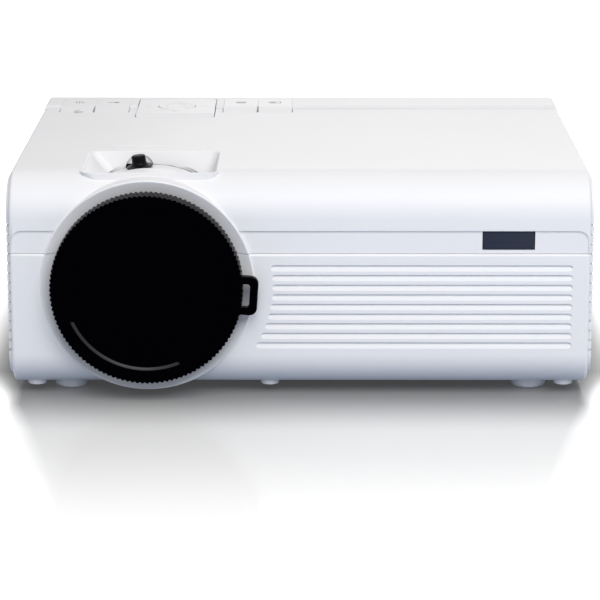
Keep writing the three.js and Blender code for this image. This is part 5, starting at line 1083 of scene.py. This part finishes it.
def grain(tree, shader, scale, strength, distance, tint=0.02, rough_span=0.06):
    """Fine moulded texture: noise drives a bump, a slight tint and the roughness."""
    spot = node(tree, "TexCoord", {})["Object"]
    fine, broad = [node(tree, "TexNoise", {"Scale": size, "Detail": detail, "Vector": spot})["Fac"]
                   for size, detail in ((scale, 3), (BROAD_SCALE, 2))]
    bump = node(tree, "Bump", {"Strength": strength, "Distance": distance, "Height": fine})
    base = shader.inputs["Base Color"].default_value[:3]
    rough = shader.inputs["Roughness"].default_value
    darker, lighter = [(*[min(1, c * (1 + share)) for c in base], 1) for share in (-tint, tint)]
    mix = node(tree, "Mix", {"A": darker, "B": lighter, "Factor": broad}, data_type="RGBA")
    half = rough_span / 2
    span = node(tree, "MapRange", {"To Min": rough - half, "To Max": rough + half, "Value": fine})
    feed(tree, shader, {"Normal": bump["Normal"], "Base Color": mix["Result"], "Roughness": span["Result"]})


def finish(name, color, roughness, texture, settings=None):
    mat = bpy.data.materials.new(f"{name}_finish")
    mat.use_nodes = True
    shader = mat.node_tree.nodes["Principled BSDF"]
    feed(mat.node_tree, shader, {"Base Color": (*color, 1), "Roughness": roughness, **(settings or {})})
    grain(mat.node_tree, shader, *texture)
    return mat


BY_SLOT = {
    "white_plastic": finish("white_plastic", (0.84, 0.835, 0.85), 0.42, (2600, 0.12, 0.00008), specular(0.25)),
    "key_plastic": finish("key_plastic", (0.84, 0.835, 0.85), 0.38, (3200, 0.05, 0.00005), specular(0.25)),
    "black_plastic": finish("black_plastic", (0.003, 0.003, 0.004), 0.34, (2200, 0.1, 0.00006), specular(0.08)),
    "dark_plastic": finish("dark_plastic", (0.02, 0.02, 0.022), 0.6, (1800, 0.15, 0.0001)),
    "smoked_window": finish("smoked_window", (0.013, 0.02, 0.042), 0.1, (400, 0.02, 0.00002), specular(0.14)),
    "light_pipe": finish("light_pipe", (0.64, 0.63, 0.64), 0.3, (1500, 0.05, 0.00003),
                         {"Transmission Weight": 0.1}),
    "lens_glass": finish("lens_glass", (0.9, 0.95, 1.0), 0.03, (20, 0.0, 0.00001), GLASSY),
    "flat_glass": finish("flat_glass", (0.93, 0.97, 0.97), 0.05, (20, 0.0, 0.00001), GLASSY),
    "mirror_glass": finish("mirror", (0.88, 0.9, 0.9), 0.03, (60, 0.01, 0.00001, 0.01, 0.02), METAL),
    "panel_glass": finish("panel_glass", (0.03, 0.033, 0.04), 0.15, (300, 0.02, 0.00002)),
    "aluminium": finish("aluminium", (0.68, 0.69, 0.71), 0.34, (900, 0.12, 0.00006), METAL),
    "steel": finish("steel", (0.56, 0.57, 0.59), 0.28, (1400, 0.08, 0.00004), METAL),
    "brass": finish("brass", (0.72, 0.55, 0.24), 0.32, (1200, 0.08, 0.00004), METAL),
    "circuit_board": finish("circuit_board", (0.015, 0.11, 0.05), 0.4, (700, 0.1, 0.00006, 0.15)),
    "lamp_plate": finish("lamp_plate", (0.75, 0.75, 0.7), 0.45, (900, 0.08, 0.00004), {"Metallic": 0.2}),
    "foot_rubber": finish("foot_rubber", (0.92, 0.93, 0.95), 0.5, (1200, 0.12, 0.00008)),
}
# A matt, darker copy of the black with no reflection, for the faces of the cap and lug that look forward:
# painted shade that keeps them black
CAP_FRONT_PAINTED_SHADE = finish("cap_front_painted_shade", (0.0009, 0.0008, 0.0014), 0.5, (2200, 0.1, 0.00006), specular(0.0))
# A lighter, glossier copy of the black for the cap's step on the side the light comes from: a painted highlight
CAP_STEP_PAINTED_HIGHLIGHT = finish("cap_step_painted_highlight", (0.012, 0.012, 0.014), 0.3, (2200, 0.1, 0.00006), specular(0.25))
INK = finish("key_ink", (0.13, 0.13, 0.14), 0.6, (2600, 0.05, 0.00002))

for row in frame["record"]["subparts"]:
    cad = frame["nodes"][row["node"]]
    cad.data.materials.clear()
    cad.data.materials.append(BY_SLOT[row["material_slot"]])


# The pieces
place(top_cover(), "cover_shell", "housing", "white_plastic", ["top_cover"], STRIP_CREASE)
place(bottom_case(), "case_shell", "housing", "white_plastic", ["bottom_case"])
place(side_panel(-1), "louvre_panel_left", "housing", "white_plastic", ["side_panel_left"])
place(side_panel(1), "louvre_panel_right", "housing", "white_plastic", ["side_panel_right"])
cap_body, cap_lug = lens_cap()
place(cap_body, "cap_body", "lens_cap_body", "black_plastic", ["lens_cap"])
cap_body.data.materials.append(CAP_FRONT_PAINTED_SHADE)
cap_body.data.materials.append(CAP_STEP_PAINTED_HIGHLIGHT)
# The cap's forward faces take the painted shade copy, and its step's faces on the lit side take the painted
# highlight copy
cap_axis = Vector((LENS_X, 0, LENS_Z)) * MM + origin
for face in cap_body.data.polygons:
    offset = face.center - cap_axis
    from_axis = math.hypot(offset.x, offset.z) / MM
    on_step = CAP_DISC_R - CAP_STEP < from_axis < CAP_DISC_R + CAP_STEP_EDGE
    painted_highlight_side = LIGHT_FROM[0] * offset.x + LIGHT_FROM[1] * offset.z > LIGHT_REACH_SHARE * CAP_R * MM
    if face.normal.y < CAP_FACING and offset.y < 0:
        face.material_index = 2 if on_step and painted_highlight_side else 1
place(cap_lug, "cap_strap_lug", "lens_cap_body", "black_plastic")
# The lug's forward faces take the painted shade copy too
cap_lug.data.materials.append(CAP_FRONT_PAINTED_SHADE)
for face in cap_lug.data.polygons:
    face.material_index = 1 if face.normal.y < LUG_FACING else 0
place(focus_knob(), "focus_knob_shape", "focus_body", "black_plastic", ["focus_knob"])
place(focus_ring(), "focus_ring_shape", "focus_body", "white_plastic", ["focus_ring"])
for key_node in KEY_SPANS:
    place(key(key_node), f"{key_node}_shape", f"{key_node}_body", "key_plastic", [key_node], KEY_CREASE)
place(nav_pad(), "nav_pad_shape", "nav_pad_body", "key_plastic", ["nav_pad"], PAD_CREASE)
place(ok_button(), "ok_button_shape", "ok_body", "key_plastic", ["ok_button"])
place(pad_marks(), "pad_arrows", "nav_pad_body", "key_plastic")
place(ok_mark(), "ok_ring", "ok_body", "key_plastic")
place(focus_marks(), "focus_arrows", "housing", "white_plastic")
for key_node in KEY_SPANS:
    place(key_sign(key_node), f"{key_node}_sign", f"{key_node}_body", "dark_plastic", material=INK)
place(led_dome(), "power_lamp_dome", "housing", "light_pipe", ["power_led_lens"])
place(ir_window(), "receiver_window", "housing", "smoked_window", ["ir_window"])
for foot_node, spot in FEET.items():
    place(foot(*spot), f"{foot_node}_shape", "housing", "foot_rubber", [foot_node])
for number, spot in enumerate(SCREWS, 1):
    place(case_screw(*spot), f"case_screw_{number}_shape", "housing", "steel", [f"case_screw_{number}"])
place(tripod_insert(), "tripod_ring", "housing", "brass", ["tripod_insert"])
place(io_panel(), "socket_panel", "housing", "white_plastic", ["io_panel"])
place(shell_socket(*HDMI), "hdmi_shell", "housing", "steel", ["hdmi_socket"])
place(socket_tongue(*HDMI_TONGUE), "hdmi_tongue", "housing", "black_plastic")
place(shell_socket(*USB), "usb_shell", "housing", "steel", ["usb_socket"])
place(socket_tongue(*USB_TONGUE), "usb_tongue", "housing", "black_plastic")
place(shell_socket(*CARD), "card_shell", "housing", "steel", ["card_slot"])
for jack_node, jack_x in JACKS.items():
    place(jack(jack_x), f"{jack_node}_shape", "housing", "black_plastic", [jack_node])
place(power_inlet(), "inlet_shell", "housing", "black_plastic", ["power_inlet"])
place(inlet_pins(), "inlet_pins", "housing", "steel")


# Camera, from the perspective fit of the photograph
FOCAL_PIXELS = 2577.9
FRAME_PIXELS = 600
SENSOR_W = 36
PITCH = math.radians(13.33)
YAW = math.radians(0.124)
DISTANCE = 940.0
TARGET = Vector((0, 60, 37))
CENTRE_PIXEL = (300.43, 243.9)

back = Vector((math.sin(YAW) * math.cos(PITCH), -math.cos(YAW) * math.cos(PITCH), math.sin(PITCH)))
camera_data = bpy.data.cameras.new("camera")
camera_data.sensor_width = SENSOR_W
camera_data.lens = camera_data.sensor_width * FOCAL_PIXELS / FRAME_PIXELS
camera_data.shift_x = -(CENTRE_PIXEL[0] - FRAME_PIXELS / 2) / FRAME_PIXELS
camera_data.shift_y = (CENTRE_PIXEL[1] - FRAME_PIXELS / 2) / FRAME_PIXELS
camera = bpy.data.objects.new("camera", camera_data)
camera.location = origin + (TARGET + back * DISTANCE) * MM
camera.rotation_mode = "QUATERNION"
camera.rotation_quaternion = (-back).to_track_quat("-Z", "Y")
bpy.context.scene.collection.objects.link(camera)
bpy.context.scene.camera = camera


# Floor in metres. Each ramp is where it starts and ends from the part's front, or rear, and its values there
FLOOR_HALF = 4.0
FLOOR_WHITE = (0.9, 0.9, 0.9)
FLOOR_BOUNCE = (0.46, 0.54, 0.68)
FLOOR_BOUNCE_NEAR = 0.5
FLOOR_GLOSS = 0.1
FLOOR_GLOSS_ROUGHNESS = 0.07
# The glow and the two ramps after it are lower in front of the part, which paints a shadow on the floor there
FLOOR_GLOW = (-0.35, 0.0, 0.6, 0.06)
PAINTED_SHADOW_NEAR = (-0.034, 0.016, 1.0, 0.3)
PAINTED_SHADOW_FAR = (-0.125, -0.04, 1.0, 0.88)
SIDE_SPREAD = (-0.2, 0.0, 0.02, 0.0)
SIDE_LEAD = (0.0, 0.04, 0.6, 0.0)
SIDE_REACH = (-0.1, 0.9)
SOFT_AHEAD = (-0.12, 0.0, 0.06, 0.01)
SOFT_BESIDE = (0.0, 0.04, 0.01, 0.025)
BEHIND = (0.0, 0.08, 0.0, 1.0)


def seen_or_lit(tree, seen, lit):
    """What the camera, gloss and glass see, and what lights the object."""
    path = node(tree, "LightPath", {})
    both = node(tree, "Math", {0: path["Is Camera Ray"], 1: path["Is Glossy Ray"]}, operation="MAXIMUM")
    every = node(tree, "Math", {0: both[0], 1: path["Is Transmission Ray"]}, operation="MAXIMUM")
    return node(tree, "MixShader", {0: every[0], 1: lit, 2: seen})[0]


def stage_floor():
    """A white floor that keeps the object's shadow, with a painted shadow in front of it, where it is also
    faintly glossy.
    """
    bm = bmesh.new()
    corners = ((-1, -1), (1, -1), (1, 1), (-1, 1))
    bm.faces.new([bm.verts.new((u * FLOOR_HALF, v * FLOOR_HALF, 0)) for u, v in corners])
    floor = new_object(bm, "floor")
    mat = bpy.data.materials.new("floor_finish")
    mat.use_nodes = True
    tree = mat.node_tree
    tree.nodes.clear()
    out = tree.nodes.new("ShaderNodeOutputMaterial")
    parts = node(tree, "SeparateXYZ", {0: node(tree, "TexCoord", {})["Object"]})
    aside = node(tree, "Math", {0: parts["X"]}, operation="ABSOLUTE")[0]
    front, rear, side = cad_low[1], cad_high[1], cad_high[0]

    def ramp(source, low, high, at_low, at_high, kind="LINEAR"):
        values = {"Value": source, "From Min": low, "From Max": high, "To Min": at_low, "To Max": at_high}
        return node(tree, "MapRange", values, interpolation_type=kind)["Result"]

    def along(start, low, high, at_low, at_high, kind="LINEAR"):
        return ramp(parts["Y"], start + low, start + high, at_low, at_high, kind)

    def combined(operation, first, second):
        return node(tree, "Math", {0: first, 1: second}, operation=operation)[0]

    def matt(color, factor):
        shade = node(tree, "VectorMath", {0: color, "Scale": factor}, operation="SCALE")
        return node(tree, "BsdfDiffuse", {"Color": shade["Vector"]})[0]

    # How far the floor lies beside or behind the part, from 0 in front of it to 1
    edge = combined("ADD", aside, along(front, *SIDE_SPREAD))
    outside = ramp(edge, side + SIDE_REACH[0], side + SIDE_REACH[1], *SIDE_REACH)
    softness = combined("MAXIMUM", along(front, *SOFT_AHEAD), along(front, *SOFT_BESIDE))
    across = combined("ADD", combined("DIVIDE", outside, softness), along(front, *SIDE_LEAD))
    beside = combined("MAXIMUM", ramp(across, 0.0, 1.0, 0.0, 1.0, "SMOOTHSTEP"),
                      along(rear, *BEHIND, "SMOOTHSTEP"))

    # How white it is, with a painted shadow that darkens it in front of the part, how much it glows, less near
    # the front, and how glossy it is
    near, far = [along(front, *values, "SMOOTHSTEP") for values in (PAINTED_SHADOW_NEAR, PAINTED_SHADOW_FAR)]
    painted_shadow = combined("MAXIMUM", beside, combined("MULTIPLY", near, far))
    level = combined("MAXIMUM", beside, combined("MULTIPLY", along(front, *FLOOR_GLOW), far))
    glow = node(tree, "Emission", {"Strength": level})[0]
    white = node(tree, "AddShader", {0: matt(FLOOR_WHITE, painted_shadow), 1: glow})[0]
    gloss = node(tree, "BsdfGlossy", {"Roughness": FLOOR_GLOSS_ROUGHNESS})[0]
    shown = node(tree, "MixShader", {0: ramp(beside, 0.0, 1.0, FLOOR_GLOSS, 0.0), 1: white, 2: gloss})[0]
    lit = matt(FLOOR_BOUNCE, ramp(painted_shadow, 0.0, 1.0, FLOOR_BOUNCE_NEAR, 1.0))
    feed(tree, out, {"Surface": seen_or_lit(tree, shown, lit)})
    floor.data.materials.append(mat)


# Studio: an even sky, and area lights as (place, size, power), all aimed at one point
SKY = (1.0, 1.0, 1.0)
SKY_LEVEL = 0.41
LIGHT_AIM = Vector((0, 0, 0.04))
LIGHTS = {"key": ((0.2, -0.8, 0.85), (0.9, 0.7), 9.6), "rear": ((0.3, 1.1, 0.4), (0.9, 0.5), 1.6)}


def area_light(name, spot, size, power):
    data = bpy.data.lights.new(name, "AREA")
    data.shape = "RECTANGLE"
    data.size, data.size_y = size
    data.energy = power
    lamp = bpy.data.objects.new(name, data)
    lamp.location = spot
    lamp.rotation_mode = "QUATERNION"
    lamp.rotation_quaternion = (LIGHT_AIM - Vector(spot)).to_track_quat("-Z", "Y")
    bpy.context.scene.collection.objects.link(lamp)


def studio():
    world = bpy.data.worlds.new("studio")
    world.use_nodes = True
    tree = world.node_tree
    plain = tree.nodes["Background"]
    feed(tree, plain, {"Color": (*SKY, 1), "Strength": SKY_LEVEL})
    white = node(tree, "Background", {"Strength": 1.0})[0]
    feed(tree, tree.nodes["World Output"], {"Surface": seen_or_lit(tree, white, plain.outputs[0])})
    bpy.context.scene.world = world
    for name, values in LIGHTS.items():
        area_light(name, *values)


stage_floor()
studio()
bpy.context.scene.view_settings.view_transform = "Standard"
